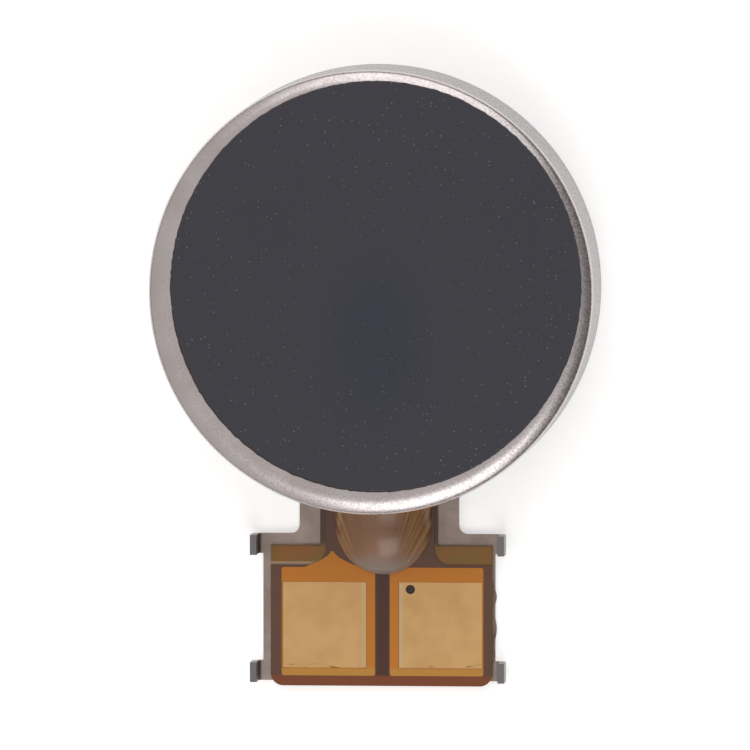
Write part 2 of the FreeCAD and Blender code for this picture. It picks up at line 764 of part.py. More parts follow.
def check_model():
    """Stops unless every object is sound and every sub-part is a valid shape."""
    for item in doc.Objects:
        if "Invalid" in item.State or "Error" in item.State:
            raise RuntimeError(f"{item.Label} is {item.State}")
    for node in nodes:
        shape = node.Shape
        if shape.isNull() or not shape.isValid() or not shape.Solids:
            raise RuntimeError(f"{node.Label} has no valid solid")


def write_parts():
    """Writes one STEP file for each sub-part."""
    os.makedirs("parts", exist_ok=True)
    for node in nodes:
        node.Shape.exportStep(f"parts/{node.Label}.step")
        box = node.Shape.BoundBox
        count = len(node.Shape.Solids)
        print(f"{node.Label}: {count} solid(s), {node.Shape.Volume:.4f} mm3,"
              f" z {box.ZMin:.3f} to {box.ZMax:.3f}")


fill_sheet()
make_case_cover()
make_bracket()
make_weld_nuggets()
make_flex()
make_bearing()
make_magnet()
make_brushes()
make_rotor()
make_seal()
make_face()
doc.recompute()
check_model()
write_parts()
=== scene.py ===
import math

import bmesh
import bpy
from bpy.props import FloatProperty, FloatVectorProperty, IntProperty, PointerProperty
from mathutils import Matrix, Vector


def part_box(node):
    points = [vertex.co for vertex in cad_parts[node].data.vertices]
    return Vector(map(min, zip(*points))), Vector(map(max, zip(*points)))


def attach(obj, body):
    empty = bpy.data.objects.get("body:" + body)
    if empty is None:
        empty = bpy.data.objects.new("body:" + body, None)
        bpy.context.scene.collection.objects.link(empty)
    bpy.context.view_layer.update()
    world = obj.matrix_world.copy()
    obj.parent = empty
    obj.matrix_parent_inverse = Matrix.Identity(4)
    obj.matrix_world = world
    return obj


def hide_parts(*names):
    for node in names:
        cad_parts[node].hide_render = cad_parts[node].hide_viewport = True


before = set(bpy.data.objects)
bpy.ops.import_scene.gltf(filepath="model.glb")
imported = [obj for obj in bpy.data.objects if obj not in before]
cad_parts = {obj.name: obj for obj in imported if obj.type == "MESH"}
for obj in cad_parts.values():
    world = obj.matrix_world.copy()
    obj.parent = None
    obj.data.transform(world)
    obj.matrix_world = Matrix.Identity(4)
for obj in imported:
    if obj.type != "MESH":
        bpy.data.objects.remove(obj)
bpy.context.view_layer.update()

bl_info = {
    "name": "Coin Motor Looks",
    "version": (1, 0, 0),
    "blender": (4, 5, 0),
    "location": "3D View > Sidebar > Coin Motor",
    "description": "Models the visible pieces and the finishes of a coin vibration motor",
    "category": "Object",
}

# Lengths are in metres and the frame is the CAD's: Z up from the underside of the bracket,
# the contact tongue along -Y.
MM = 0.001
SAME = 0.0005 * MM    # points nearer than this are one point
CLEAR = 1.0 * MM    # how far a cutter reaches past what it cuts
WELD_ANGLES = [math.radians(degrees) for degrees in (45, 135, 225, 315)]
CAN_LOW, CAN_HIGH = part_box("case_cover")
BRACKET_LOW, BRACKET_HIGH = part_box("bracket")
HUB_LOW, HUB_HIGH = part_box("lower_washer")
SHAFT_LOW, SHAFT_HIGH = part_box("shaft")
NUGGET_LOW, NUGGET_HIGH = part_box("weld_nuggets")
GLUE_LOW, GLUE_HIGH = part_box("flex_glue")
BASE_LOW, BASE_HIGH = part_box("flex_film")
COVER_LOW, COVER_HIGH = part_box("coverlay")
GOLD_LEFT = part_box("gold_pad_left")
GOLD_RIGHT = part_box("gold_pad_right")
SEAL_LOW, SEAL_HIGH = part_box("seal_glue")
FACE_LOW, FACE_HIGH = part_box("face_film")
TACK_LOW, TACK_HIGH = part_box("face_glue")
FACE_CENTRE = (FACE_LOW + FACE_HIGH) / 2


def linear(hexadecimal):
    """An sRGB hex colour as linear red, green, blue and alpha."""
    parts = [int(hexadecimal[i : i + 2], 16) / 255 for i in (1, 3, 5)]
    return (*(c / 12.92 if c <= 0.04045 else ((c + 0.055) / 1.055) ** 2.4 for c in parts), 1.0)


def length(name, description, millimetres):
    """A length that a user can change, given in millimetres."""
    return FloatProperty(name=name, description=description, default=millimetres * MM,
                         precision=5, unit="LENGTH", subtype="DISTANCE")


def share(name, description, value):
    """A number without a unit that a user can change."""
    return FloatProperty(name=name, description=description, default=value, precision=3)


def colour(name, description, hexadecimal):
    """A colour that a user can change."""
    return FloatVectorProperty(name=name, description=description, size=4, min=0.0, max=1.0,
                               default=linear(hexadecimal), subtype="COLOR")


# ---------------------------------------------------------------- what a user can change


class CoinMotorSizes(bpy.types.PropertyGroup):
    """Sizes of the visible pieces that the CAD's boxes don't give."""

    ring_sides: IntProperty(name="Ring sides", description="Sides of a full round", default=256,
                            min=32, max=512)
    can_wall: length("Can wall", "Thickness of the drawn can", 0.2)
    can_edge: length("Can edge radius", "Rounding at the outer edge of the can's face", 0.12)
    crown_width: length("Crown width", "How far in from there the face bows down", 0.33)
    can_inner: length("Can inner radius", "Rounding inside the can", 0.1)
    notch_half: length("Notch half width", "Half of the opening that the neck leaves by", 1.85)
    notch_top: length("Notch top", "Height of that opening", 0.34)
    sheet: length("Bracket sheet", "Thickness of the stamped sheet", 0.15)
    neck_half: length("Neck half width", "Half of the bracket's neck", 1.8)
    tongue_half: length("Tongue half width", "Half of the tongue without its ears", 2.62)
    tongue_length: length("Tongue length", "From the shoulder to the tongue's end", 3.32)
    ear_length: length("Ear length", "Length of an ear along the tongue", 0.45)
    bend_radius: length("Bend radius", "Inside radius of an ear's bend", 0.08)
    ear_relief: length("Ear relief", "Flat strip between the tongue's side and the bend", 0.02)
    shoulder_radius: length("Shoulder radius", "Rounding between neck and tongue", 0.2)
    nugget_radius: length("Weld nugget radius", "Radius of a weld spot", 0.15)
    hub_radius: length("Hub radius", "Outside radius of the drawn hub", 0.65)
    area_left: length("Pad area left", "X distance from the axis to the circuit's left edge", 2.44)
    area_right: length("Pad area right", "X distance from the axis to its right edge", 2.56)
    flex_neck_half: length("Circuit neck half width", "Half of the circuit's neck", 1.325)
    flex_corner: length("Circuit corner radius", "Rounding of the circuit's outer corners", 0.28)
    flex_top: length("Circuit shoulder", "Y distance from the axis to the circuit's shoulder", 5.85)
    cover_left: length("Cover neck left", "X distance to the left side of the cover film's neck",
                       1.2)
    cover_right: length("Cover neck right", "X distance to its right side", 1.25)
    cover_top: length("Cover shoulder", "Y distance from the axis to the cover film's shoulder",
                      6.29)
    cover_fillet: length("Cover fillet", "Rounding where that neck meets the pad area", 0.36)
    cover_step: length("Copper step", "How far the cover film stands up over the copper", 0.012)
    peak_x: length("Trace peak X", "X distance to the tapered start of the left trace", 1.05)
    peak_height: length("Trace peak", "Height of that taper", 0.36)
    peak_width: length("Trace peak width", "Width of that taper at the land", 1.26)
    hub_hole: length("Hub hole radius", "Hole in the circuit round the hub", 0.73)
    land_inner: length("Copper margin inside", "Covered copper between the window and the gap", 0.2)
    land_outer: length("Copper margin outside", "Covered copper at the outer side", 0.02)
    land_top: length("Copper margin above", "Covered copper above the window", 0.33)
    land_bottom: length("Copper margin below", "Covered copper below the window", 0.17)
    via_radius: length("Plated hole radius", "Radius of the plated hole", 0.1)
    via_inset_x: length("Plated hole inset X", "From the window's side to the hole", 0.265)
    via_inset_y: length("Plated hole inset Y", "From the window's top to the hole", 0.165)
    film_trim: length("Film trim", "How far the film's upper right side is drawn in", 0.02)
    film_ragged: length("Film raggedness", "How far its cut edge wanders", 0.014)
    tack_shift: length("Adhesive shift", "How far its adhesive peeps out at the lower left", 0.03)
    seal_half: length("Seal half width", "Half of the seal bead's width", 1.09)
    seal_x: length("Seal X", "X of the seal bead's middle", 0.11)
    seal_nose: length("Seal nose", "Length of the bead's rounded nose", 1.13)


class CoinMotorColours(bpy.types.PropertyGroup):
    """Colours of the visible finishes."""

    can_steel: colour("Can steel", "Drawn stainless steel", "#C9C2C3")
    bracket_steel: colour("Bracket steel", "Stamped stainless steel", "#AFA19A")
    black_film: colour("Black film", "Satin film on the can", "#2D2C39")
    orange: colour("Film over copper", "Amber film with copper under it", "#D07A10")
    brown: colour("Film over adhesive", "Amber film with dark adhesive under it", "#624130")
    amber: colour("Base film", "Bare base film", "#7E621F")
    gold: colour("Gold plating", "Matt gold over nickel", "#D9AF79")
    seal: colour("Seal adhesive", "Cured translucent adhesive", "#8A6145")


class CoinMotorStage(bpy.types.PropertyGroup):
    """The floor, the light and the view."""

    floor_size: length("Floor size", "Side of the floor", 1200)
    overhead_glow: share("Overhead", "Brightness of the room overhead", 0.64)
    horizon_glow: share("Horizon", "Brightness of the room at the sides", 0.06)
    right_share: share("Right side", "Brightness of the room's right side as a share of its left "
                       "side", 0.28)
    floor_glow: share("Floor glow", "Light from below the opal floor", 0.48)
    south_glow: share("South box", "Brightness of the box beyond the tongue", 2.4)
    north_glow: share("North box", "Brightness of the box opposite", 1.25)
    box_distance: length("Box distance", "From the motor to each soft box", 300)
    lean_x: share("Lean in X", "How far the view leans towards +X", 0.083)
    lean_y: share("Lean in Y", "How far the view leans towards +Y", 0.068)
    aim_x: length("Aim X", "X of the point that the camera looks at", -0.108)
    aim_y: length("Aim Y", "Y of the point that the camera looks at", -2.018)
    camera_distance: length("Camera distance", "From the aim to the camera", 600)
    sensor_width: length("Sensor width", "Width of the camera's sensor", 12)
    view_width: length("View width", "Width of the picture at the floor", 16.89)


class CoinMotorSettings(bpy.types.PropertyGroup):
    """All that a user can change."""

    sizes: PointerProperty(type=CoinMotorSizes)
    colours: PointerProperty(type=CoinMotorColours)
    stage: PointerProperty(type=CoinMotorStage)


# ---------------------------------------------------------------- modelling by hand


def start(name, primitive, **settings):
    """Adds a primitive with nothing else selected, and puts its place in its mesh."""
    bpy.ops.object.select_all(action="DESELECT")
    primitive(**settings)
    bpy.ops.object.transform_apply(location=True, rotation=True, scale=True)
    piece = bpy.context.object
    piece.name = name
    piece.data.name = name
    return piece


def box(name, low, high):
    """A block between two corners, the start of a flat piece or of a cutter."""
    low, high = Vector(low), Vector(high)
    return start(name, bpy.ops.mesh.primitive_cube_add, size=1.0, location=(low + high) / 2,
                 scale=high - low)


def rod(name, radius, low, high, x=0.0, y=0.0, sides=128):
    """An upright rod, the start of a round piece or of a cutter."""
    return start(name, bpy.ops.mesh.primitive_cylinder_add, vertices=sides, radius=radius,
                 depth=high - low, location=(x, y, (low + high) / 2))


def select(*pieces):
    """Selects only these pieces, the first one as the active one."""
    bpy.ops.object.select_all(action="DESELECT")
    for piece in pieces:
        piece.select_set(True)
    bpy.context.view_layer.objects.active = pieces[0]


def edit(piece, kind="FACE"):
    """Opens a piece in edit mode with nothing selected."""
    select(piece)
    bpy.ops.object.mode_set(mode="EDIT")
    bpy.ops.mesh.select_mode(type=kind)
    bpy.ops.mesh.select_all(action="DESELECT")


def pick(kind, test):
    """In edit mode, selects only the faces, edges or verts whose middle and item pass the test,
    and stops if there are none."""
    piece = bpy.context.object
    mesh = bmesh.from_edit_mesh(piece.data)
    bpy.ops.mesh.select_all(action="DESELECT")
    found = 0
    for item in getattr(mesh, kind):
        if kind == "verts":
            middle = item.co
        elif kind == "edges":
            middle = (item.verts[0].co + item.verts[1].co) / 2
        else:
            middle = item.calc_center_median()
        if test(middle, item):
            item.select_set(True)
            found += 1
    if not found:
        raise RuntimeError(f"nothing to select on {piece.name}")
    bmesh.update_edit_mesh(piece.data)


def close_edit():
    """Leaves edit mode with the doubles merged and the faces outwards."""
    bpy.ops.mesh.select_all(action="SELECT")
    bpy.ops.mesh.remove_doubles(threshold=SAME)
    bpy.ops.mesh.normals_make_consistent(inside=False)
    bpy.ops.object.mode_set(mode="OBJECT")


def cut(point, normal, **settings):
    """In edit mode, cuts the whole mesh along a plane."""
    bpy.ops.mesh.select_all(action="SELECT")
    bpy.ops.mesh.bisect(plane_co=point, plane_no=normal, threshold=SAME, **settings)


def pull(x, y, z):
    """In edit mode, extrudes what is selected and moves the new part."""
    bpy.ops.mesh.extrude_region_move(TRANSFORM_OT_translate={"value": (x, y, z)})


def is_near(a, b):
    """Whether two places along an axis are the same, but for a little rounding."""
    return abs(a - b) < 0.002 * MM


def upright_edge(x, y):
    """A test for the upright edges at a place."""

    def test(middle, edge):
        a, b = (v.co for v in edge.verts)
        stands = abs(a.z - b.z) > SAME and (a.xy - b.xy).length < SAME
        return stands and is_near(middle.x, x) and is_near(middle.y, y)

    return test


def arc(centre_radius, centre_height, radius, first, last, steps):
    """Points of a profile's rounding, as (radius, height), between two angles in degrees."""
    angles = [math.radians(first + (last - first) * i / steps) for i in range(steps + 1)]
    return [(centre_radius + radius * math.cos(a), centre_height + radius * math.sin(a))
            for a in angles]


def turned(name, profile, centre=(0.0, 0.0), sides=256):
    """A turned piece: a flat round face at the profile's first point, extruded through its other
    points. The face left behind closes one end, and the face that travels closes the other."""
    radius, height = profile[0]
    piece = start(name, bpy.ops.mesh.primitive_circle_add, vertices=sides, radius=radius,
                  fill_type="NGON", location=(*centre, height))
    edit(piece)
    bpy.ops.mesh.select_all(action="SELECT")
    for next_radius, next_height in profile[1:]:
        ratio = next_radius / radius
        pull(0.0, 0.0, next_height - height)
        bpy.ops.transform.resize(value=(ratio, ratio, 1.0), center_override=(*centre, 0.0))
        radius, height = next_radius, next_height
    close_edit()
    return piece


def combine(piece, tool, operation):
    """Joins a tool to the piece or cuts it out, and removes the tool."""
    change = piece.modifiers.new("Shape", "BOOLEAN")
    change.operation = operation
    change.solver = "EXACT"
    change.material_mode = "TRANSFER"
    change.object = tool
    apply_modifiers(piece)
    bpy.data.objects.remove(tool)


def apply_modifiers(piece):
    """Applies every modifier of the piece, in order."""
    select(piece)
    for name in [modifier.name for modifier in piece.modifiers]:
        bpy.ops.object.modifier_apply(modifier=name)


def soften(piece, width, segments=2, angle=35.0):
    """Shades a piece smooth and breaks its sharp edges by a small bevel. Its flats stay flat."""
    shade(piece, angle)
    edges = piece.modifiers.new("Edges", "BEVEL")
    edges.width = width
    edges.segments = segments
    edges.limit_method = "ANGLE"
    edges.angle_limit = math.radians(angle)
    edges.use_clamp_overlap = True
    edges.miter_outer = "MITER_ARC"
    edges.harden_normals = True
    apply_modifiers(piece)


def shade(piece, angle=35.0):
    """Shades a piece smooth, apart from its sharp edges."""
    select(piece)
    bpy.ops.object.shade_smooth_by_angle(angle=math.radians(angle))


def tidy_flats(piece):
    """Joins the coplanar faces that a cut leaves."""
    edit(piece)
    bpy.ops.mesh.select_all(action="SELECT")
    bpy.ops.mesh.remove_doubles(threshold=SAME)
    bpy.ops.mesh.dissolve_limited(angle_limit=math.radians(0.2))
    close_edit()


def round_corner(piece, x, y, radius, segments=8):
    """Rounds the upright corner of a flat piece at a place."""
    edit(piece, "EDGE")
    pick("edges", upright_edge(x, y))
    bpy.ops.mesh.bevel(offset=radius, offset_type="OFFSET", segments=segments, profile=0.5,
                       affect="EDGES", clamp_overlap=False)
    close_edit()


def place(piece, body, slot, *nodes):
    """Says what a finished piece rides on and hides the CAD parts that it stands for. The slot,
    what finish it takes, is not used.
    """
    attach(piece, body)
    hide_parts(*nodes)


# ---------------------------------------------------------------- finishes


def add_node(tree, kind, inputs=None, **settings):
    """Adds a shader node with its settings, and gives each named input a value or a link. A node
    that is given as a value is linked by its first output."""
    node = tree.nodes.new("ShaderNode" + kind)
    for name, value in settings.items():
        setattr(node, name, value)
    for name, value in (inputs or {}).items():
        if isinstance(value, bpy.types.Node):
            value = value.outputs[0]
        if isinstance(value, bpy.types.NodeSocket):
            tree.links.new(value, node.inputs[name])
        else:
            node.inputs[name].default_value = value
    return node


def new_material(name):
    """An empty material, with the piece's own coordinates in metres at hand."""
    material = bpy.data.materials.new(name)
    material.use_nodes = True
    tree = material.node_tree
    tree.nodes.clear()
    return material, tree, add_node(tree, "TexCoord").outputs["Object"]


def dress(tree, base, rough, bump, sockets):
    """Ends a material: its colour, roughness, bump and other sockets go to the shader."""
    surface = add_node(tree, "BsdfPrincipled", {
        "Base Color": base, "Roughness": rough, "Normal": bump, **sockets})
    add_node(tree, "OutputMaterial", {"Surface": surface})


def every(millimetres):
    """The scale of a pattern whose details are that far apart."""
    return 1.0 / (millimetres * MM)


def toned(tint, *shares):
    """A colour with that share of another's red, green and blue."""
    return (*(part * share for part, share in zip(tint, shares)), 1.0)


def lay_over(tree, under, over, measure, first, last, amounts=(0.0, 1.0), smooth=False):
    """Lays one colour over another, by how far a measure has come from its first value to its
    last."""
    amount = add_node(tree, "MapRange", {
        0: measure, 1: first, 2: last, 3: amounts[0], 4: amounts[1]},
        interpolation_type="SMOOTHSTEP" if smooth else "LINEAR")
    mixed = add_node(tree, "Mix", {0: amount, 6: under, 7: over}, data_type="RGBA")
    return mixed.outputs[2]


def toothed(tree, grain, smoothest, roughest, strength, depth):
    """The roughness and the bump of a fine grain, so many millimetres deep."""
    rough = add_node(tree, "MapRange", {0: grain, 1: 0.3, 2: 0.7, 3: smoothest, 4: roughest})
    bump = add_node(tree, "Bump", {"Height": grain, "Strength": strength, "Distance": depth * MM})
    return rough, bump


def satin_drawn_steel():
    """Stainless steel 430, deep drawn and then tumbled satin: a soft grey with a faint warm cast,
    a pebbled grain that breaks up its highlights, and fine drawing lines down the wall."""
    material, tree, where = new_material("Stainless steel, drawn and tumbled satin")
    tint = bpy.context.scene.coin_motor.colours.can_steel
    # Stains about a millimetre across, left by washing
    stain = add_node(tree, "TexNoise", {"Vector": where, "Scale": every(0.9), "Detail": 3.0})
    steel = lay_over(tree, tint, toned(tint, 0.9, 0.88, 0.87), stain, 0.35, 0.7)
    # Painted shade: from 0.15 mm to 0.3 mm below the top the wall darkens to less than half the
    # face's brightness
    apart = add_node(tree, "SeparateXYZ", {0: where})
    face = add_node(tree, "MapRange", {
        0: apart.outputs["Z"], 1: CAN_HIGH.z - 0.3 * MM, 2: CAN_HIGH.z - 0.15 * MM, 3: 0.45,
        4: 1.0})
    steel = add_node(tree, "Mix", {
        0: 1.0, 6: steel, 7: face}, data_type="RGBA", blend_type="MULTIPLY")
    # Tumbling grain of 0.03 mm, drawn at 0.05 mm so that it shows
    grain = add_node(tree, "TexNoise", {"Vector": where, "Scale": every(0.05), "Detail": 0.0})
    rough, pebbles = toothed(tree, grain, 0.2, 0.36, 0.1, 0.004)
    # Drawing lines 0.04 mm apart, twenty times as long as they are wide
    along = add_node(tree, "Mapping", {"Vector": where, "Scale": (1.0, 1.0, 0.05)})
    lines = add_node(tree, "TexNoise", {"Vector": along, "Scale": every(0.04), "Detail": 1.0})
    drawn = add_node(tree, "Bump", {
        "Height": lines, "Strength": 0.25, "Distance": 0.003 * MM, "Normal": pebbles})
    dress(tree, steel.outputs[2], rough, drawn, {"Metallic": 1.0})
    return material


def stamped_steel():
    """Stainless steel 304 strip, cold rolled 2B and stamped: duller and browner than the can, with
    a faint rolling grain along the strip."""
    material, tree, where = new_material("Stainless steel strip, rolled and stamped")
    tint = bpy.context.scene.coin_motor.colours.bracket_steel
    # Handling stains about a millimetre across
    stain = add_node(tree, "TexNoise", {
        "Vector": where, "Scale": every(1.1), "Detail": 4.0, "Roughness": 0.6})
    steel = lay_over(tree, tint, toned(tint, 0.72, 0.68, 0.64), stain, 0.35, 0.65)
    # Painted shade: the bent-up ears, upright walls seen from above, are a darker and colder grey
    apart = add_node(tree, "SeparateXYZ", {0: where})
    steel = lay_over(tree, steel, toned(tint, 0.5, 0.57, 0.66), apart.outputs["Z"], 0.2 * MM,
                     0.4 * MM)
    # Rolling grain 0.035 mm wide, ten times as long across the tongue
    across = add_node(tree, "Mapping", {"Vector": where, "Scale": (0.1, 1.0, 1.0)})
    grain = add_node(tree, "TexNoise", {"Vector": across, "Scale": every(0.035), "Detail": 2.0})
    rough, bump = toothed(tree, grain, 0.34, 0.5, 0.3, 0.003)
    dress(tree, steel, rough, bump, {"Metallic": 1.0})
    return material


def satin_black_film():
    """Polyester film, printed black and satin coated: nearly black, with a soft even sheen, a very
    fine tooth and pale specks of dust."""
    material, tree, where = new_material("Polyester film, black satin")
    tint = bpy.context.scene.coin_motor.colours.black_film
    # Painted reflection of the dark camera lens: a soft patch about 2 mm by 3 mm below the middle
    # is bluer and darker, and clouds about 3 mm across break it up
    cloud = add_node(tree, "TexNoise", {"Vector": where, "Scale": every(2.8), "Detail": 2.0})
    about = add_node(tree, "VectorMath", {
        0: where, 1: FACE_CENTRE - Vector((0.0, 1.3 * MM, 0.0))}, operation="SUBTRACT")
    narrow = add_node(tree, "VectorMath", {0: about, 1: (1.6, 1.0, 1.0)}, operation="MULTIPLY")
    patch = add_node(tree, "VectorMath", {0: narrow}, operation="LENGTH")
    near = add_node(tree, "MapRange", {
        0: patch.outputs["Value"], 1: 0.3 * MM, 2: 2.8 * MM, 3: 1.0, 4: 0.0},
        interpolation_type="SMOOTHSTEP")
    uneven = add_node(tree, "MapRange", {0: cloud, 1: 0.3, 2: 0.7, 3: 0.7, 4: 1.0})
    painted_reflection = add_node(tree, "Math", {0: near, 1: uneven}, operation="MULTIPLY")
    coat = add_node(tree, "Mix", {
        0: painted_reflection, 6: tint, 7: toned(tint, 0.38, 0.62, 0.98)}, data_type="RGBA")
    # Tooth of 0.02 mm, drawn at 0.045 mm so that it shows
    tooth = add_node(tree, "TexNoise", {
        "Vector": where, "Scale": every(0.045), "Detail": 2.0, "Roughness": 0.7})
    satin = lay_over(tree, coat.outputs[2], linear("#3E3D42"), tooth, 0.3, 0.7, (0.0, 0.25))
    # Dust: one cell every 0.1 mm, of which some hold a faint speck about 0.015 mm across
    cells = add_node(tree, "TexVoronoi", {"Vector": where, "Scale": every(0.1), "Randomness": 1.0})
    speck = add_node(tree, "MapRange", {
        0: cells.outputs["Distance"], 1: 0.08, 2: 0.18, 3: 1.0, 4: 0.0})
    chance = add_node(tree, "SeparateColor", {0: cells.outputs["Color"]})
    held = add_node(tree, "MapRange", {0: chance, 1: 0.4, 2: 1.0, 3: 0.0, 4: 0.75})
    # It has gathered towards the rim, where the film is touched less
    from_middle = add_node(tree, "VectorMath", {0: where, 1: FACE_CENTRE}, operation="DISTANCE")
    outer = add_node(tree, "MapRange", {
        0: from_middle.outputs["Value"], 1: 1.0 * MM, 2: 4.2 * MM, 3: 0.3, 4: 1.0})
    dust = speck
    for part in (held, outer):
        dust = add_node(tree, "Math", {0: dust, 1: part}, operation="MULTIPLY")
    black = add_node(tree, "Mix", {0: dust, 6: satin, 7: linear("#9A9A9A")}, data_type="RGBA")
    rough = add_node(tree, "MapRange", {0: cloud, 1: 0.3, 2: 0.7, 3: 0.36, 4: 0.46})
    bump = add_node(tree, "Bump", {"Height": tooth, "Strength": 0.25, "Distance": 0.003 * MM})
    dress(tree, black.outputs[2], rough, bump, {"IOR": 1.55})
    return material


def clear_film(name, tint, dark, patch, rough, strip=None, strip_top=0.0, gap=None, bare=False):
    """A polyimide layer of the circuit: an even amber stain with cloudy patches of another depth,
    and the wet gloss of rolled film with a slight orange peel. It can have a darker tone in the
    gap between two places across the tongue, another tone in the strip below a place along it,
    and the marks of the bare base film."""
    material, tree, where = new_material(name)
    # Patches where the laminate was pressed harder
    patches = add_node(tree, "TexNoise", {"Vector": where, "Scale": every(patch), "Detail": 3.0})
    stain = lay_over(tree, tint, dark, patches, 0.35, 0.65)
    apart = add_node(tree, "SeparateXYZ", {0: where})
    blur = 0.03 * MM
    if gap:
        across = add_node(tree, "Math", {
            0: apart.outputs["X"], 1: (gap[0] + gap[1]) / 2}, operation="SUBTRACT")
        off = add_node(tree, "Math", {0: across}, operation="ABSOLUTE")
        half = (gap[1] - gap[0]) / 2
        stain = lay_over(tree, stain, linear("#4B2A1A"), off, half - blur, half + blur, (1.0, 0.0))
    if strip:
        stain = lay_over(tree, stain, linear(strip), apart.outputs["Y"], strip_top - blur,
                         strip_top + blur, (1.0, 0.0))
    if bare:
        stain = base_film_marks(tree, where, apart, stain)
    # Orange peel about 0.15 mm across
    peel = add_node(tree, "TexNoise", {"Vector": where, "Scale": every(0.15), "Detail": 1.0})
    bump = add_node(tree, "Bump", {"Height": peel, "Strength": 0.3, "Distance": 0.004 * MM})
    dress(tree, stain, rough, bump, {"IOR": 1.55})
    return material


def base_film_marks(tree, where, apart, stain):
    """Adds to the base film the painted shade of its neck, a painted highlight along the cover
    film's left shoulder, laid on the adhesive squeezed out from under it, and painted shade, with
    flux, at the bottom of the plated hole."""
    sizes = bpy.context.scene.coin_motor.sizes
    # The neck, in the shade of the can, is as brown as the cover film beside it
    shoulder = -sizes.flex_top
    stain = lay_over(tree, stain, linear("#563A2A"), apart.outputs["Y"], shoulder - 0.05 * MM,
                     shoulder + 0.1 * MM)
    # The distance from the middle of the cover film's fillet, or from the lines through it
    across = add_node(tree, "Math", {
        0: apart.outputs["X"], 1: sizes.cover_left + sizes.cover_fillet}, operation="ADD")
    down = add_node(tree, "Math", {
        0: -(sizes.cover_top - sizes.cover_fillet), 1: apart.outputs["Y"]}, operation="SUBTRACT")
    sides = [add_node(tree, "Math", {0: each, 1: 0.0},
                      operation="MAXIMUM") for each in (across, down)]
    corner = add_node(tree, "CombineXYZ", {0: sides[0], 1: sides[1]})
    away = add_node(tree, "VectorMath", {0: corner}, operation="LENGTH")
    # Painted highlight: a pale line where the cover film's edge catches the light, on the adhesive
    # squeezed out from under it
    squeezed = add_node(tree, "MapRange", {
        0: away.outputs["Value"], 1: sizes.cover_fillet - 0.09 * MM,
        2: sizes.cover_fillet - 0.04 * MM, 3: 0.0, 4: 1.0}, interpolation_type="SMOOTHSTEP")
    # The painted highlight ends halfway round the fillet
    low_left = add_node(tree, "Math", {
        0: apart.outputs["X"], 1: apart.outputs["Y"]}, operation="ADD")
    left = add_node(tree, "MapRange", {0: low_left, 1: -7.75 * MM, 2: -7.4 * MM, 3: 1.0, 4: 0.0})
    highlight_shown = add_node(tree, "Math", {0: squeezed, 1: left}, operation="MULTIPLY")
    highlight_lined = add_node(tree, "Mix", {0: highlight_shown, 6: stain, 7: linear("#B89A7C")}, data_type="RGBA")
    # Painted shade at the bottom of the plated hole, which is dark with flux as well
    from_hole = add_node(tree, "VectorMath", {0: where, 1: hole_place()}, operation="DISTANCE")
    return lay_over(tree, highlight_lined.outputs[2], linear("#2A1810"), from_hole.outputs["Value"],
                    sizes.via_radius, 1.3 * sizes.via_radius, (1.0, 0.0))


def matt_gold(low, high, inward):
    """Soft gold over nickel, electroplated on etched copper: a warm, slightly greenish yellow,
    matt, with cloudy patches, a fine etched grain, a greyer border along the land's inner side and
    a few scuffs from a test probe at its lower edge."""
    material, tree, where = new_material("Gold over nickel, matt electroplated")
    tint = bpy.context.scene.coin_motor.colours.gold
    patches = add_node(tree, "TexNoise", {"Vector": where, "Scale": every(0.7), "Detail": 2.0})
    gold = lay_over(tree, tint, toned(tint, 0.9, 0.86, 0.82), patches, 0.35, 0.65)
    # The greyer border fades out over 0.16 mm
    apart = add_node(tree, "SeparateXYZ", {0: where})
    inner = high.x if inward > 0 else low.x
    gold = lay_over(tree, gold, linear("#CDBB9A"), apart.outputs["X"], inner,
                    inner - inward * 0.16 * MM, (0.6, 0.0), smooth=True)
    # Scuffs about 0.06 mm wide and 0.24 mm long in the lowest 0.12 mm
    along = add_node(tree, "Mapping", {"Vector": where, "Scale": (0.25, 1.0, 1.0)})
    scuff = add_node(tree, "TexNoise", {"Vector": along, "Scale": every(0.06), "Detail": 1.0})
    near = add_node(tree, "MapRange", {
        0: apart.outputs["Y"], 1: low.y, 2: low.y + 0.12 * MM, 3: 1.0, 4: 0.0})
    held = add_node(tree, "MapRange", {0: scuff, 1: 0.6, 2: 0.68, 3: 0.0, 4: 0.8})
    worn = add_node(tree, "Math", {0: near, 1: held}, operation="MULTIPLY")
    plating = add_node(tree, "Mix", {0: worn, 6: gold, 7: linear("#6E4E30")}, data_type="RGBA")
    # Etched grain of 0.02 mm, drawn at 0.04 mm so that it shows
    grain = add_node(tree, "TexNoise", {"Vector": where, "Scale": every(0.04), "Detail": 2.0})
    rough, bump = toothed(tree, grain, 0.4, 0.52, 0.25, 0.002)
    dress(tree, plating.outputs[2], rough, bump, {"Metallic": 1.0})
    return material


def grained(name, tint, other, grain_mm, metallic, rough, depth_mm):
    """A plain finish with one grain: its colour and its bump vary over the grain's own size."""
    material, tree, where = new_material(name)
    grain = add_node(tree, "TexNoise", {"Vector": where, "Scale": every(grain_mm), "Detail": 3.0})
    stain = lay_over(tree, linear(tint), linear(other), grain, 0.35, 0.65)
    gloss, bump = toothed(tree, grain, rough * 0.85, min(1.0, rough * 1.15), 0.4, depth_mm)
    dress(tree, stain, gloss, bump, {"Metallic": metallic})
    return material


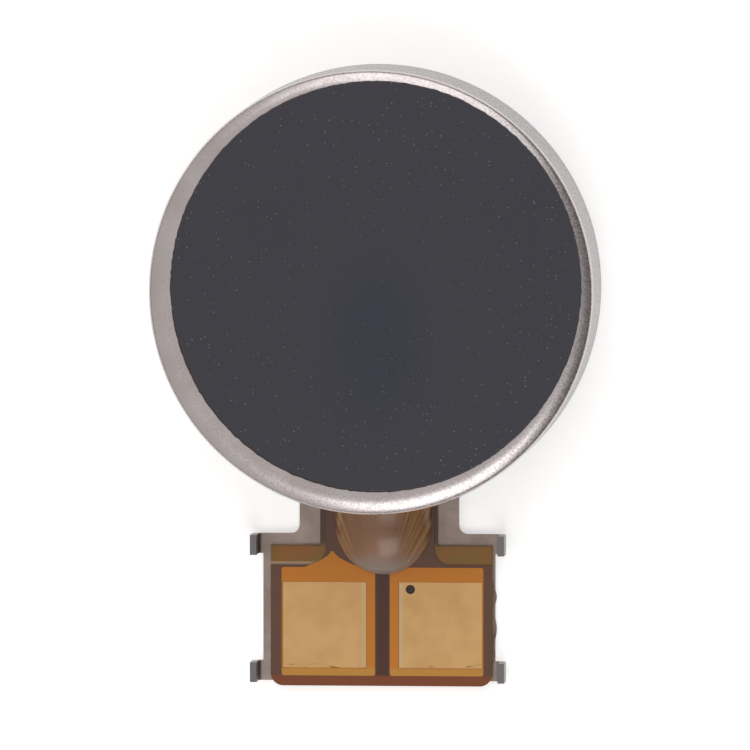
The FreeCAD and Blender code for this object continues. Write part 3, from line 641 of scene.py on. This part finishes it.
def wound_copper(name, centre):
    """Enamelled copper wire, wound flat: rings of painted highlight and painted shade round the
    coil's middle, for the lit tops of the turns and the shaded grooves between them, coarser than
    the wire so that they show, with the gloss of the enamel."""
    material, tree, where = new_material(name)
    about = add_node(tree, "Mapping", {"Vector": where, "Location": -centre})
    # The wave goes through 20 radians in each unit, so that a ring is 6.3 times 0.06 mm wide
    rings = add_node(tree, "TexWave", {
        "Vector": about, "Scale": every(0.06) / 20.0}, wave_type="RINGS",
        rings_direction="Z", wave_profile="SIN")
    # Painted highlight on the rings' crests and painted shade in their troughs
    wire = add_node(tree, "Mix", {
        0: rings.outputs["Fac"], 6: linear("#4A1E10"), 7: linear("#B86A3C")}, data_type="RGBA")
    bump = add_node(tree, "Bump", {
        "Height": rings.outputs["Fac"], "Strength": 0.8, "Distance": 0.02 * MM})
    dress(tree, wire.outputs[2], 0.3, bump, {
        "Metallic": 0.8, "Coat Weight": 0.6, "Coat Roughness": 0.15})
    return material


def cured_adhesive():
    """Acrylic adhesive, cured under a lamp: a translucent brown bead with copper-coloured streaks
    that run together towards its toe, where it is milky and greyer, under a wet gloss."""
    material, tree, where = new_material("Acrylic adhesive, cured translucent")
    tint = bpy.context.scene.coin_motor.colours.seal
    # The streaks lie on lines that would meet a little beyond the toe
    beyond = Vector(((SEAL_LOW.x + SEAL_HIGH.x) / 2, SEAL_LOW.y - 0.9 * MM, 0.0))
    about = add_node(tree, "VectorMath", {0: where, 1: beyond}, operation="SUBTRACT")
    apart = add_node(tree, "SeparateXYZ", {0: about})
    turn = add_node(tree, "Math", {
        0: apart.outputs["X"], 1: apart.outputs["Y"]}, operation="ARCTAN2")
    streaks = add_node(tree, "TexNoise", {
        "W": turn, "Scale": 26.0, "Detail": 2.0}, noise_dimensions="1D")
    line = add_node(tree, "MapRange", {0: streaks, 1: 0.38, 2: 0.64, 3: 0.0, 4: 1.0})
    # They are strong at the sides and hardly there in the middle millimetre
    off = add_node(tree, "Math", {0: apart.outputs["X"]}, operation="ABSOLUTE")
    side = add_node(tree, "MapRange", {
        0: off, 1: 0.35 * MM, 2: 0.85 * MM, 3: 0.12, 4: 0.9}, interpolation_type="SMOOTHSTEP")
    amount = add_node(tree, "Math", {0: line, 1: side}, operation="MULTIPLY")
    streaked = add_node(tree, "Mix", {0: amount, 6: tint, 7: linear("#B48A58")}, data_type="RGBA")
    # Painted highlight: the bead is lighter in its middle millimetre
    painted_middle_highlight = lay_over(tree, streaked.outputs[2], linear("#AB8066"), off, 0.1 * MM,
                     0.6 * MM, (0.45, 0.0), smooth=True)
    # Milky towards the toe, over 0.55 mm
    milk = lay_over(tree, painted_middle_highlight, linear("#9C9089"), apart.outputs["Y"], 1.0 * MM, 1.55 * MM,
                    (0.85, 0.0), smooth=True)
    bump = add_node(tree, "Bump", {"Height": amount, "Strength": 0.4, "Distance": 0.01 * MM})
    dress(tree, milk, 0.22, bump, {
        "IOR": 1.49, "Subsurface Weight": 0.25, "Subsurface Radius": (1.0, 0.6, 0.4),
        "Subsurface Scale": 0.12 * MM})
    return material


def cover(piece, material):
    """Gives a piece one finish all over."""
    piece.data.materials.clear()
    piece.data.materials.append(material)


# ---------------------------------------------------------------- pieces


def cut_nuggets(piece):
    """Leaves room for the weld nuggets, which sit half in the can and half in the bracket."""
    sizes = bpy.context.scene.coin_motor.sizes
    reach = CAN_HIGH.x - sizes.can_wall
    for angle in WELD_ANGLES:
        nugget = rod("nugget", sizes.nugget_radius, NUGGET_LOW.z - 0.1 * MM, NUGGET_HIGH.z,
                     reach * math.cos(angle), reach * math.sin(angle), sides=32)
        combine(piece, nugget, "DIFFERENCE")


class COINMOTOR_OT_can(bpy.types.Operator):
    """Makes the drawn can, with its rounded edge and the notch for the neck"""

    bl_idname = "coinmotor.can"
    bl_label = "Can"

    def execute(self, context):
        sizes = context.scene.coin_motor.sizes
        radius, top = CAN_HIGH.x, CAN_HIGH.z
        bore, ceiling = radius - sizes.can_wall, top - sizes.can_wall
        middle = radius / 2
        # The face bows down by 25 degrees before the edge itself turns
        turn = 25
        sine, cosine = math.sin(math.radians(turn)), math.cos(math.radians(turn))
        meet = radius - sizes.can_edge * (1 - sine)
        bow = sizes.crown_width / sine
        edge_middle = top - bow * (1 - cosine) - sizes.can_edge * cosine
        outside = arc(meet - sizes.crown_width, top - bow, bow, 90, 90 - turn, 8)
        outside += arc(radius - sizes.can_edge, edge_middle, sizes.can_edge, 90 - turn, 0, 8)[1:]
        inside = arc(bore - sizes.can_inner, ceiling - sizes.can_inner, sizes.can_inner, 0, 90, 6)
        # A ring of edges above the notch, and one inside the bow, keep the long faces even
        ring, flat = 2 * sizes.notch_top, 0.9 * radius
        profile = [(middle, top), (flat, top), *outside, (radius, ring), (radius, CAN_LOW.z),
                   (bore, CAN_LOW.z), (bore, ring), *inside, (middle, ceiling)]
        can = turned("Can", profile, sides=sizes.ring_sides)
        notch = box("notch", (-sizes.notch_half, -radius - CLEAR, CAN_LOW.z - CLEAR),
                    (sizes.notch_half, -middle, sizes.notch_top))
        combine(can, notch, "DIFFERENCE")
        cut_nuggets(can)
        cover(can, satin_drawn_steel())
        shade(can)
        place(can, "stator", "case_steel", "case_cover")
        return {"FINISHED"}


class COINMOTOR_OT_bracket(bpy.types.Operator):
    """Makes the stamped bracket: disc, neck, tongue, four bent ears and the hub"""

    bl_idname = "coinmotor.bracket"
    bl_label = "Bracket"

    def execute(self, context):
        sizes = context.scene.coin_motor.sizes
        end, top = BRACKET_LOW.y, sizes.sheet
        shoulder = end + sizes.tongue_length
        half = sizes.tongue_half
        bracket = box("Bracket", (-half, end, 0.0), (half, shoulder, top))
        edit(bracket)
        lower_ear, upper_ear = end + sizes.ear_length, shoulder - sizes.ear_length
        for y in (lower_ear, upper_ear):
            cut((0.0, y, 0.0), (0.0, 1.0, 0.0))
        link = sizes.ear_relief
        bend_height = top + sizes.bend_radius
        for side in (-1.0, 1.0):
            for low, high in ((end, lower_ear), (upper_ear, shoulder)):
                pick("faces", lambda middle, face: is_near(middle.x, side * half)
                     and low < middle.y < high)
                pull(side * link, 0.0, 0.0)
                bpy.ops.mesh.spin(steps=8, angle=side * math.pi / 2, axis=(0.0, 1.0, 0.0),
                                  center=(side * (half + link), 0.0, bend_height))
                pull(0.0, 0.0, BRACKET_HIGH.z - bend_height)
        close_edit()
        neck = box("neck", (-sizes.neck_half, upper_ear, 0.0),
                   (sizes.neck_half, 0.0, top))
        combine(bracket, neck, "UNION")
        combine(bracket, rod("disc", BRACKET_HIGH.y, 0.0, top, sides=sizes.ring_sides), "UNION")
        tidy_flats(bracket)
        for side in (-1.0, 1.0):
            round_corner(bracket, side * sizes.neck_half, shoulder, sizes.shoulder_radius)
        combine(bracket, rod("hub", sizes.hub_radius, top / 2, HUB_LOW.z), "UNION")
        combine(bracket, rod("bore", SHAFT_HIGH.x, -CLEAR, CLEAR), "DIFFERENCE")
        cut_nuggets(bracket)
        tidy_flats(bracket)
        cover(bracket, stamped_steel())
        soften(bracket, 0.03 * MM, 3)
        place(bracket, "stator", "bracket_steel", "bracket")
        return {"FINISHED"}


class COINMOTOR_OT_weld_nuggets(bpy.types.Operator):
    """Makes the four weld spots on the underside, each with a shallow frozen ripple"""

    bl_idname = "coinmotor.weld_nuggets"
    bl_label = "Weld nuggets"

    def execute(self, context):
        sizes = context.scene.coin_motor.sizes
        reach = CAN_HIGH.x - sizes.can_wall
        radius, top = sizes.nugget_radius, NUGGET_HIGH.z
        ripple_depth, ripple_width = 0.006 * MM, 0.15 * radius
        profile = [(radius, top), (radius, 0.0)]
        profile += [(radius - ripple_width * step, ripple_depth * (step % 2))
                    for step in range(1, 6)]
        spots = [turned("Weld nuggets", profile,
                        (reach * math.cos(angle), reach * math.sin(angle)), sides=32)
                 for angle in WELD_ANGLES]
        select(*spots)
        bpy.ops.object.join()
        nuggets = context.object
        bpy.ops.object.transform_apply(location=True, rotation=True, scale=True)
        nuggets.name = "Weld_nuggets"
        cover(nuggets, grained("Stainless steel, laser welded", "#8C8078", "#5E6470", 0.08, 1.0,
                               0.35, 0.004))
        shade(nuggets)
        place(nuggets, "stator", "bracket_steel", "weld_nuggets")
        return {"FINISHED"}


class COINMOTOR_OT_shaft(bpy.types.Operator):
    """Makes the ground shaft, whose end shows on the underside"""

    bl_idname = "coinmotor.shaft"
    bl_label = "Shaft"

    def execute(self, context):
        radius, low, high = SHAFT_HIGH.x, SHAFT_LOW.z, SHAFT_HIGH.z
        edge = 0.04 * MM
        shaft = turned("Shaft", [(radius - edge, high), (radius, high - edge), (radius, low + edge),
                                 (radius - edge, low)], sides=96)
        cover(shaft, grained("Bearing steel, hardened and ground", "#C6C6CA", "#B4B4B8", 0.03, 1.0,
                             0.18, 0.001))
        shade(shaft)
        place(shaft, "stator", "shaft_steel", "shaft")
        return {"FINISHED"}


def circuit_layer(name, low, high, neck_left, neck_right, shoulder, right):
    """One layer of the flexible circuit: a disc under the magnet, a neck and the pad area."""
    sizes = bpy.context.scene.coin_motor.sizes
    layer = rod(name, BASE_HIGH.y, low, high)
    overlap = 0.1 * MM
    neck = box("neck", (neck_left, shoulder - overlap, low), (neck_right, -CLEAR, high))
    combine(layer, neck, "UNION")
    area = box("area", (-sizes.area_left, BASE_LOW.y, low), (right, shoulder, high))
    combine(layer, area, "UNION")
    combine(layer, rod("hole", sizes.hub_hole, low - CLEAR, high + CLEAR), "DIFFERENCE")
    tidy_flats(layer)
    for x in (-sizes.area_left, right):
        round_corner(layer, x, BASE_LOW.y, sizes.flex_corner)
    return layer


class COINMOTOR_OT_circuit(bpy.types.Operator):
    """Makes the glue and the base film of the flexible circuit"""

    bl_idname = "coinmotor.circuit"
    bl_label = "Circuit base"

    def execute(self, context):
        sizes = context.scene.coin_motor.sizes
        colours = context.scene.coin_motor.colours
        half, shoulder = sizes.flex_neck_half, -sizes.flex_top
        glue = circuit_layer("Circuit_glue", GLUE_LOW.z, GLUE_HIGH.z, -half, half, shoulder,
                             sizes.area_right)
        # The right edge is cut into short pieces, and some of them bulge where glue came out
        first, spacing = BASE_LOW.y + sizes.flex_corner, 0.06 * MM
        edit(glue)
        for step in range(1, 40):
            cut((0.0, first + step * spacing, 0.0), (0.0, 1.0, 0.0))
        close_edit()
        edit(glue, "VERT")
        for y, bulge, reach in ((-7.0, 0.1, 0.4), (-7.7, 0.1, 0.6), (-8.3, 0.07, 0.3)):
            nearest = first + round((y * MM - first) / spacing) * spacing
            pick("verts", lambda middle, vert: middle.x > sizes.area_right - spacing / 6
                 and abs(middle.y - nearest) < spacing / 2)
            bpy.ops.transform.translate(
                value=(bulge * MM, 0.0, 0.0), use_proportional_edit=True,
                use_proportional_connected=False, proportional_edit_falloff="SMOOTH",
                proportional_size=reach * MM)
        close_edit()
        cover(glue, grained("Acrylic film adhesive, squeezed out", "#94806F", "#75604F", 0.25, 0.0,
                            0.4, 0.01))
        soften(glue, 0.008 * MM)
        place(glue, "stator", "adhesive", "flex_glue")
        base = circuit_layer("Base_film", BASE_LOW.z, BASE_HIGH.z, -half, half, shoulder,
                             sizes.area_right)
        cover(base, clear_film("Polyimide base film, bare", colours.amber, linear("#965E1C"), 0.9,
                               0.3, bare=True))
        soften(base, 0.008 * MM)
        place(base, "stator", "polyimide", "flex_film")
        return {"FINISHED"}


def copper_pieces():
    """The lands as the cover film shows them: the land's block, and the taper on the left one."""
    sizes = bpy.context.scene.coin_motor.sizes
    low, high = COVER_HIGH.z - 2 * sizes.cover_step, COVER_HIGH.z
    corner, overlap = 0.05 * MM, 0.1 * MM
    lands = []
    for window, inward in ((GOLD_LEFT, 1.0), (GOLD_RIGHT, -1.0)):
        inner = window[1].x + sizes.land_inner if inward > 0 else window[0].x - sizes.land_inner
        outer = window[0].x - sizes.land_outer if inward > 0 else window[1].x + sizes.land_outer
        y_low, y_high = window[0].y - sizes.land_bottom, window[1].y + sizes.land_top
        land = box("land", (min(inner, outer), y_low, low), (max(inner, outer), y_high, high))
        for x in (inner, outer):
            for y in (y_low, y_high):
                round_corner(land, x, y, corner, 4)
        lands.append(land)
    x, y = -sizes.peak_x, GOLD_LEFT[1].y + sizes.land_top
    half, steps = sizes.peak_width / 2, 10
    taper = box("taper", (x - half, y - overlap, low), (x + half, y, high))
    edit(taper)
    pick("faces", lambda middle, face: face.normal.y > 0.9)
    # Its sides are hollow, and its tip keeps a twentieth of the width
    width, tip, hollow = 1.0, 0.05, 1.6
    for step in range(1, steps + 1):
        pull(0.0, sizes.peak_height / steps, 0.0)
        narrower = tip + (1 - tip) * (1 - step / steps) ** hollow
        bpy.ops.transform.resize(value=(narrower / width, 1.0, 1.0), center_override=(x, y, 0.0))
        width = narrower
    close_edit()
    combine(lands[0], taper, "UNION")
    return lands


def hole_place():
    """The middle of the plated hole, in the upper inner corner of the right window."""
    sizes = bpy.context.scene.coin_motor.sizes
    return Vector((GOLD_RIGHT[0].x + sizes.via_inset_x, GOLD_RIGHT[1].y - sizes.via_inset_y,
                   BASE_HIGH.z))


def hole_cutter():
    """A cutter for the plated hole."""
    sizes = bpy.context.scene.coin_motor.sizes
    middle = hole_place()
    return rod("hole", sizes.via_radius, COVER_LOW.z - CLEAR, COVER_HIGH.z + CLEAR, middle.x,
               middle.y, sides=48)


class COINMOTOR_OT_cover_film(bpy.types.Operator):
    """Makes the cover film, raised over the copper and open over the contact lands"""

    bl_idname = "coinmotor.cover_film"
    bl_label = "Cover film"

    def execute(self, context):
        sizes = context.scene.coin_motor.sizes
        colours = context.scene.coin_motor.colours
        window_low = GOLD_LEFT[0].y
        plain = clear_film("Polyimide cover film over adhesive", colours.brown, linear("#694430"),
                           0.8, 0.22, "#824218", window_low - sizes.land_bottom,
                           (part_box("copper_left")[1].x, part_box("copper_right")[0].x))
        warm = clear_film("Polyimide cover film over copper", colours.orange, linear("#CA7E12"),
                          1.2, 0.25, "#C88D33", window_low)
        shoulder = -sizes.cover_top
        film = circuit_layer("Cover_film", COVER_LOW.z, COVER_HIGH.z - sizes.cover_step,
                             -sizes.cover_left, sizes.cover_right, shoulder, sizes.area_right)
        round_corner(film, -sizes.cover_left, shoulder, sizes.cover_fillet)
        round_corner(film, sizes.cover_right, shoulder, sizes.cover_fillet)
        cover(film, plain)
        for land in copper_pieces():
            cover(land, warm)
            combine(film, land, "UNION")
        for low, high in (GOLD_LEFT, GOLD_RIGHT):
            window = box("window", low, (high.x, high.y, high.z + CLEAR))
            cover(window, warm)
            combine(film, window, "DIFFERENCE")
        combine(film, hole_cutter(), "DIFFERENCE")
        soften(film, 0.01 * MM, 2, 50.0)
        place(film, "stator", "polyimide", "coverlay")
        return {"FINISHED"}


class COINMOTOR_OT_gold_lands(bpy.types.Operator):
    """Makes the two gold-plated contact lands, the right one with its plated hole"""

    bl_idname = "coinmotor.gold_lands"
    bl_label = "Gold lands"

    def execute(self, context):
        for name, node, (low, high), inward in (
                ("Gold_land_left", "gold_pad_left", GOLD_LEFT, 1.0),
                ("Gold_land_right", "gold_pad_right", GOLD_RIGHT, -1.0)):
            land = box(name, low, high)
            if node == "gold_pad_right":
                combine(land, hole_cutter(), "DIFFERENCE")
                tidy_flats(land)
            cover(land, matt_gold(low, high, inward))
            soften(land, 0.012 * MM)
            place(land, "stator", "gold_plate", node)
        return {"FINISHED"}


class COINMOTOR_OT_seal(bpy.types.Operator):
    """Makes the bead of cured adhesive where the circuit enters the can"""

    bl_idname = "coinmotor.seal"
    bl_label = "Seal bead"

    def execute(self, context):
        sizes = context.scene.coin_motor.sizes
        # The nose is four fifths as high as the bead is where it meets the can
        nose_height, rise = 0.8 * (SEAL_HIGH.z - SEAL_LOW.z), 1.25
        nose_back, bead_back = SEAL_LOW.y + sizes.seal_nose, -CAN_HIGH.x + 0.4 * MM
        bead = start("Seal_bead", bpy.ops.mesh.primitive_uv_sphere_add, segments=128,
                     ring_count=64, radius=1.0, rotation=(math.radians(90), 0.0, 0.0),
                     location=(sizes.seal_x, nose_back, SEAL_LOW.z),
                     scale=(sizes.seal_half, nose_height, sizes.seal_nose))
        edit(bead)
        # Only the nose stays of the ball, and its back runs on into the can
        cut((0.0, nose_back, 0.0), (0.0, 1.0, 0.0), use_fill=True, clear_outer=True)
        pick("faces", lambda middle, face: face.normal.y > 0.99)
        pull(0.0, bead_back - nose_back, 0.0)
        bpy.ops.transform.resize(value=(1.0, 1.0, rise), center_override=(0.0, 0.0, SEAL_LOW.z))
        cut((0.0, 0.0, SEAL_LOW.z), (0.0, 0.0, 1.0), use_fill=True, clear_inner=True)
        close_edit()
        inside = rod("inside", CAN_HIGH.x, -CLEAR, CAN_HIGH.z, sides=sizes.ring_sides)
        combine(bead, inside, "DIFFERENCE")
        cover(bead, cured_adhesive())
        shade(bead, 50.0)
        place(bead, "stator", "seal_resin", "seal_glue")
        return {"FINISHED"}


def cut_disc(name, radius, x, y, low, high, ragged):
    """A flat round film, punched out a little ragged: a face whose rim wanders, extruded up."""
    film = start(name, bpy.ops.mesh.primitive_circle_add, vertices=360, radius=radius,
                 fill_type="NGON", location=(x, y, low))
    edit(film, "VERT")
    bpy.ops.mesh.select_all(action="SELECT")
    bpy.ops.transform.vertex_random(offset=ragged, uniform=0.0, normal=0.0, seed=4)
    bpy.ops.transform.resize(value=(1.0, 1.0, 0.0), center_override=(0.0, 0.0, low))
    pull(0.0, 0.0, high - low)
    close_edit()
    return film


class COINMOTOR_OT_black_film(bpy.types.Operator):
    """Makes the black film on the can's face, and its adhesive"""

    bl_idname = "coinmotor.black_film"
    bl_label = "Black film"

    def execute(self, context):
        sizes = context.scene.coin_motor.sizes
        radius = (FACE_HIGH.x - FACE_LOW.x) / 2 - sizes.film_trim
        x, y = FACE_CENTRE.x - sizes.film_trim, FACE_CENTRE.y - sizes.film_trim
        tack = cut_disc("Film_adhesive", radius, x - sizes.tack_shift, y - sizes.tack_shift,
                        TACK_LOW.z, TACK_HIGH.z, sizes.film_ragged)
        cover(tack, grained("Acrylic film adhesive, rolled", "#4A362C", "#33261F", 0.2, 0.0, 0.4,
                            0.004))
        shade(tack)
        place(tack, "stator", "adhesive", "face_glue")
        film = cut_disc("Black_film", radius, x, y, FACE_LOW.z, FACE_HIGH.z, sizes.film_ragged)
        cover(film, satin_black_film())
        soften(film, 0.012 * MM)
        place(film, "stator", "face_black", "face_film")
        return {"FINISHED"}


class COINMOTOR_OT_inner_finishes(bpy.types.Operator):
    """Gives every sealed inner piece the finish of its real material"""

    bl_idname = "coinmotor.inner_finishes"
    bl_label = "Inner finishes"

    def execute(self, context):
        adhesive = grained("Acrylic adhesive, rolled", "#8A6A50", "#6F523C", 0.3, 0.0, 0.4, 0.01)
        washer = grained("Polyester film, punched", "#D8D2C2", "#C9C2B0", 0.1, 0.0, 0.45, 0.002)
        foil = grained("Copper foil, rolled and etched", "#D98A5E", "#B96C46", 0.06, 1.0, 0.35,
                       0.002)
        brush = grained("Precious metal alloy, rolled strip", "#D9BE8C", "#C4A878", 0.05, 1.0, 0.25,
                        0.002)
        solder = grained("Tin solder, reflowed", "#C9CACC", "#A7A9AE", 0.08, 1.0, 0.3, 0.006)
        finishes = {
            "ring_magnet": grained("Neodymium magnet, nickel plated", "#BEBCB6", "#A9A69F", 0.1,
                                   1.0, 0.22, 0.002),
            "magnet_glue": adhesive,
            "lower_washer": washer,
            "upper_washer": washer,
            "copper_left": foil,
            "copper_right": foil,
            "brush_left": brush,
            "brush_right": brush,
            "brush_solder_left": solder,
            "brush_solder_right": solder,
            "bearing_bush": grained("Bronze, sintered and oil filled", "#9C7A4E", "#6E5232", 0.05,
                                    1.0, 0.45, 0.012),
            "commutator": grained("Gold over nickel, hard electroplated", "#E6B964", "#CFA050",
                                  0.06, 1.0, 0.25, 0.002),
            "rotor_board": grained("Glass epoxy board, green solder mask", "#1E5A34", "#174728",
                                   0.25, 0.0, 0.3, 0.006),
            "eccentric_weight": grained("Tungsten alloy, pressed and sintered", "#7C7C80",
                                        "#5E5E63", 0.06, 1.0, 0.42, 0.01),
            "rotor_moulding": grained("Liquid crystal polymer, moulded black", "#1C1C1E", "#29292C",
                                      0.12, 0.0, 0.5, 0.008),
        }
        for name in ("coil_left", "coil_right"):
            low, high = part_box(name)
            finishes[name] = wound_copper(f"Enamelled copper wire, {name}", (low + high) / 2)
        for name, material in finishes.items():
            cover(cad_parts[name], material)
        return {"FINISHED"}


# ---------------------------------------------------------------- stage


def floor_acrylic():
    """Opal acrylic sheet, cast matt and lit faintly from below: almost white, with a mottle too
    faint to see from afar, and hardly a shadow on it."""
    material, tree, where = new_material("Opal acrylic, cast matt")
    glow = bpy.context.scene.coin_motor.stage.floor_glow
    mottle = add_node(tree, "TexNoise", {"Vector": where, "Scale": every(0.5), "Detail": 3.0})
    tone = add_node(tree, "Mix", {
        0: mottle, 6: linear("#FAFAFA"), 7: linear("#FFFFFF")}, data_type="RGBA")
    surface = add_node(tree, "BsdfPrincipled", {
        "Base Color": tone.outputs[2], "Roughness": 0.9, "Specular IOR Level": 0.2,
        "Emission Color": tone.outputs[2], "Emission Strength": glow})
    add_node(tree, "OutputMaterial", {"Surface": surface})
    return material


def soft_box(name, azimuth, elevation, distance, width, height, glow):
    """A soft box that looks at the motor from an azimuth, clockwise from +Y, and an elevation, in
    degrees. Its width and height are in metres, and its glow is the brightness of its face."""
    a, e = math.radians(azimuth), math.radians(elevation)
    away = Vector((math.sin(a) * math.cos(e), math.cos(a) * math.cos(e), math.sin(e)))
    bpy.ops.object.light_add(type="AREA", location=away * distance,
                             rotation=away.to_track_quat("Z", "Y").to_euler())
    lamp = bpy.context.object
    lamp.name = name
    lamp.data.shape = "RECTANGLE"
    lamp.data.size, lamp.data.size_y = width, height
    lamp.data.energy = glow * math.pi * width * height
    lamp.visible_camera = False
    return lamp


class COINMOTOR_OT_stage(bpy.types.Operator):
    """Makes the pale floor, the soft lights and the camera above the motor"""

    bl_idname = "coinmotor.stage"
    bl_label = "Stage"

    def execute(self, context):
        stage = context.scene.coin_motor.stage
        gap = 0.02 * MM    # the motor's flat underside stands just clear of the floor
        floor = start("Floor", bpy.ops.mesh.primitive_plane_add, size=stage.floor_size,
                      location=(0.0, 0.0, -gap))
        cover(floor, floor_acrylic())
        world = bpy.data.worlds.new("Studio")
        context.scene.world = world
        world.use_nodes = True
        tree = world.node_tree
        tree.nodes.clear()
        # The room is dark at the horizon, light overhead, and lighter on the left
        where = add_node(tree, "TexCoord")
        apart = add_node(tree, "SeparateXYZ", {0: where.outputs["Generated"]})
        room = add_node(tree, "MapRange", {
            0: apart.outputs["Z"], 1: 0.0, 2: 0.45, 3: stage.horizon_glow, 4: stage.overhead_glow})
        side = add_node(tree, "MapRange", {
            0: apart.outputs["X"], 1: 0.05, 2: 0.6, 3: 1.0, 4: stage.right_share})
        both = add_node(tree, "Math", {0: room, 1: side}, operation="MULTIPLY")
        sky = add_node(tree, "Background", {0: linear("#FFFBF8"), 1: both})
        add_node(tree, "OutputWorld", {0: sky})
        soft_box("South_box", 171, 55, stage.box_distance, 0.14, 0.14, stage.south_glow)
        soft_box("North_box", 8, 50, stage.box_distance, 0.26, 0.20, stage.north_glow)
        # The camera looks down almost upright, leaning a little towards +X and +Y
        back = Vector((stage.lean_x, stage.lean_y, 1.0)).normalized()
        right = Vector((0.0, 1.0, 0.0)).cross(back).normalized()
        up = back.cross(right)
        aim = Vector((stage.aim_x, stage.aim_y, 0.0))
        bpy.ops.object.camera_add(location=aim + back * stage.camera_distance)
        camera = context.object
        turn = Matrix((right, up, back)).transposed()
        camera.rotation_euler = turn.to_euler()
        sensor = stage.sensor_width / MM
        camera.data.sensor_width = sensor
        camera.data.lens = sensor * stage.camera_distance / stage.view_width
        camera.data.clip_start = stage.camera_distance / 10
        camera.data.clip_end = stage.camera_distance * 10
        context.scene.camera = camera
        context.scene.view_settings.view_transform = "Standard"
        return {"FINISHED"}


OPERATORS = (
    COINMOTOR_OT_stage,
    COINMOTOR_OT_can,
    COINMOTOR_OT_bracket,
    COINMOTOR_OT_weld_nuggets,
    COINMOTOR_OT_shaft,
    COINMOTOR_OT_circuit,
    COINMOTOR_OT_cover_film,
    COINMOTOR_OT_gold_lands,
    COINMOTOR_OT_seal,
    COINMOTOR_OT_black_film,
    COINMOTOR_OT_inner_finishes,
)


class COINMOTOR_PT_sidebar(bpy.types.Panel):
    """The pieces of the motor and what can be changed"""

    bl_idname = "COINMOTOR_PT_sidebar"
    bl_label = "Coin Motor"
    bl_space_type = "VIEW_3D"
    bl_region_type = "UI"
    bl_category = "Coin Motor"

    def draw(self, context):
        settings = context.scene.coin_motor
        for operator in OPERATORS:
            self.layout.operator(operator.bl_idname)
        for group in (settings.sizes, settings.colours, settings.stage):
            column = self.layout.column(align=True)
            for name in group.__annotations__:
                column.prop(group, name)


CLASSES = (CoinMotorSizes, CoinMotorColours, CoinMotorStage, CoinMotorSettings, *OPERATORS,
           COINMOTOR_PT_sidebar)


def register():
    for each in CLASSES:
        bpy.utils.register_class(each)
    bpy.types.Scene.coin_motor = PointerProperty(type=CoinMotorSettings)


def unregister():
    del bpy.types.Scene.coin_motor
    for each in reversed(CLASSES):
        bpy.utils.unregister_class(each)


def main():
    """Makes every piece in order."""
    register()
    for operator in OPERATORS:
        group, name = operator.bl_idname.split(".")
        getattr(getattr(bpy.ops, group), name)()


if __name__ == "__main__":
    main()
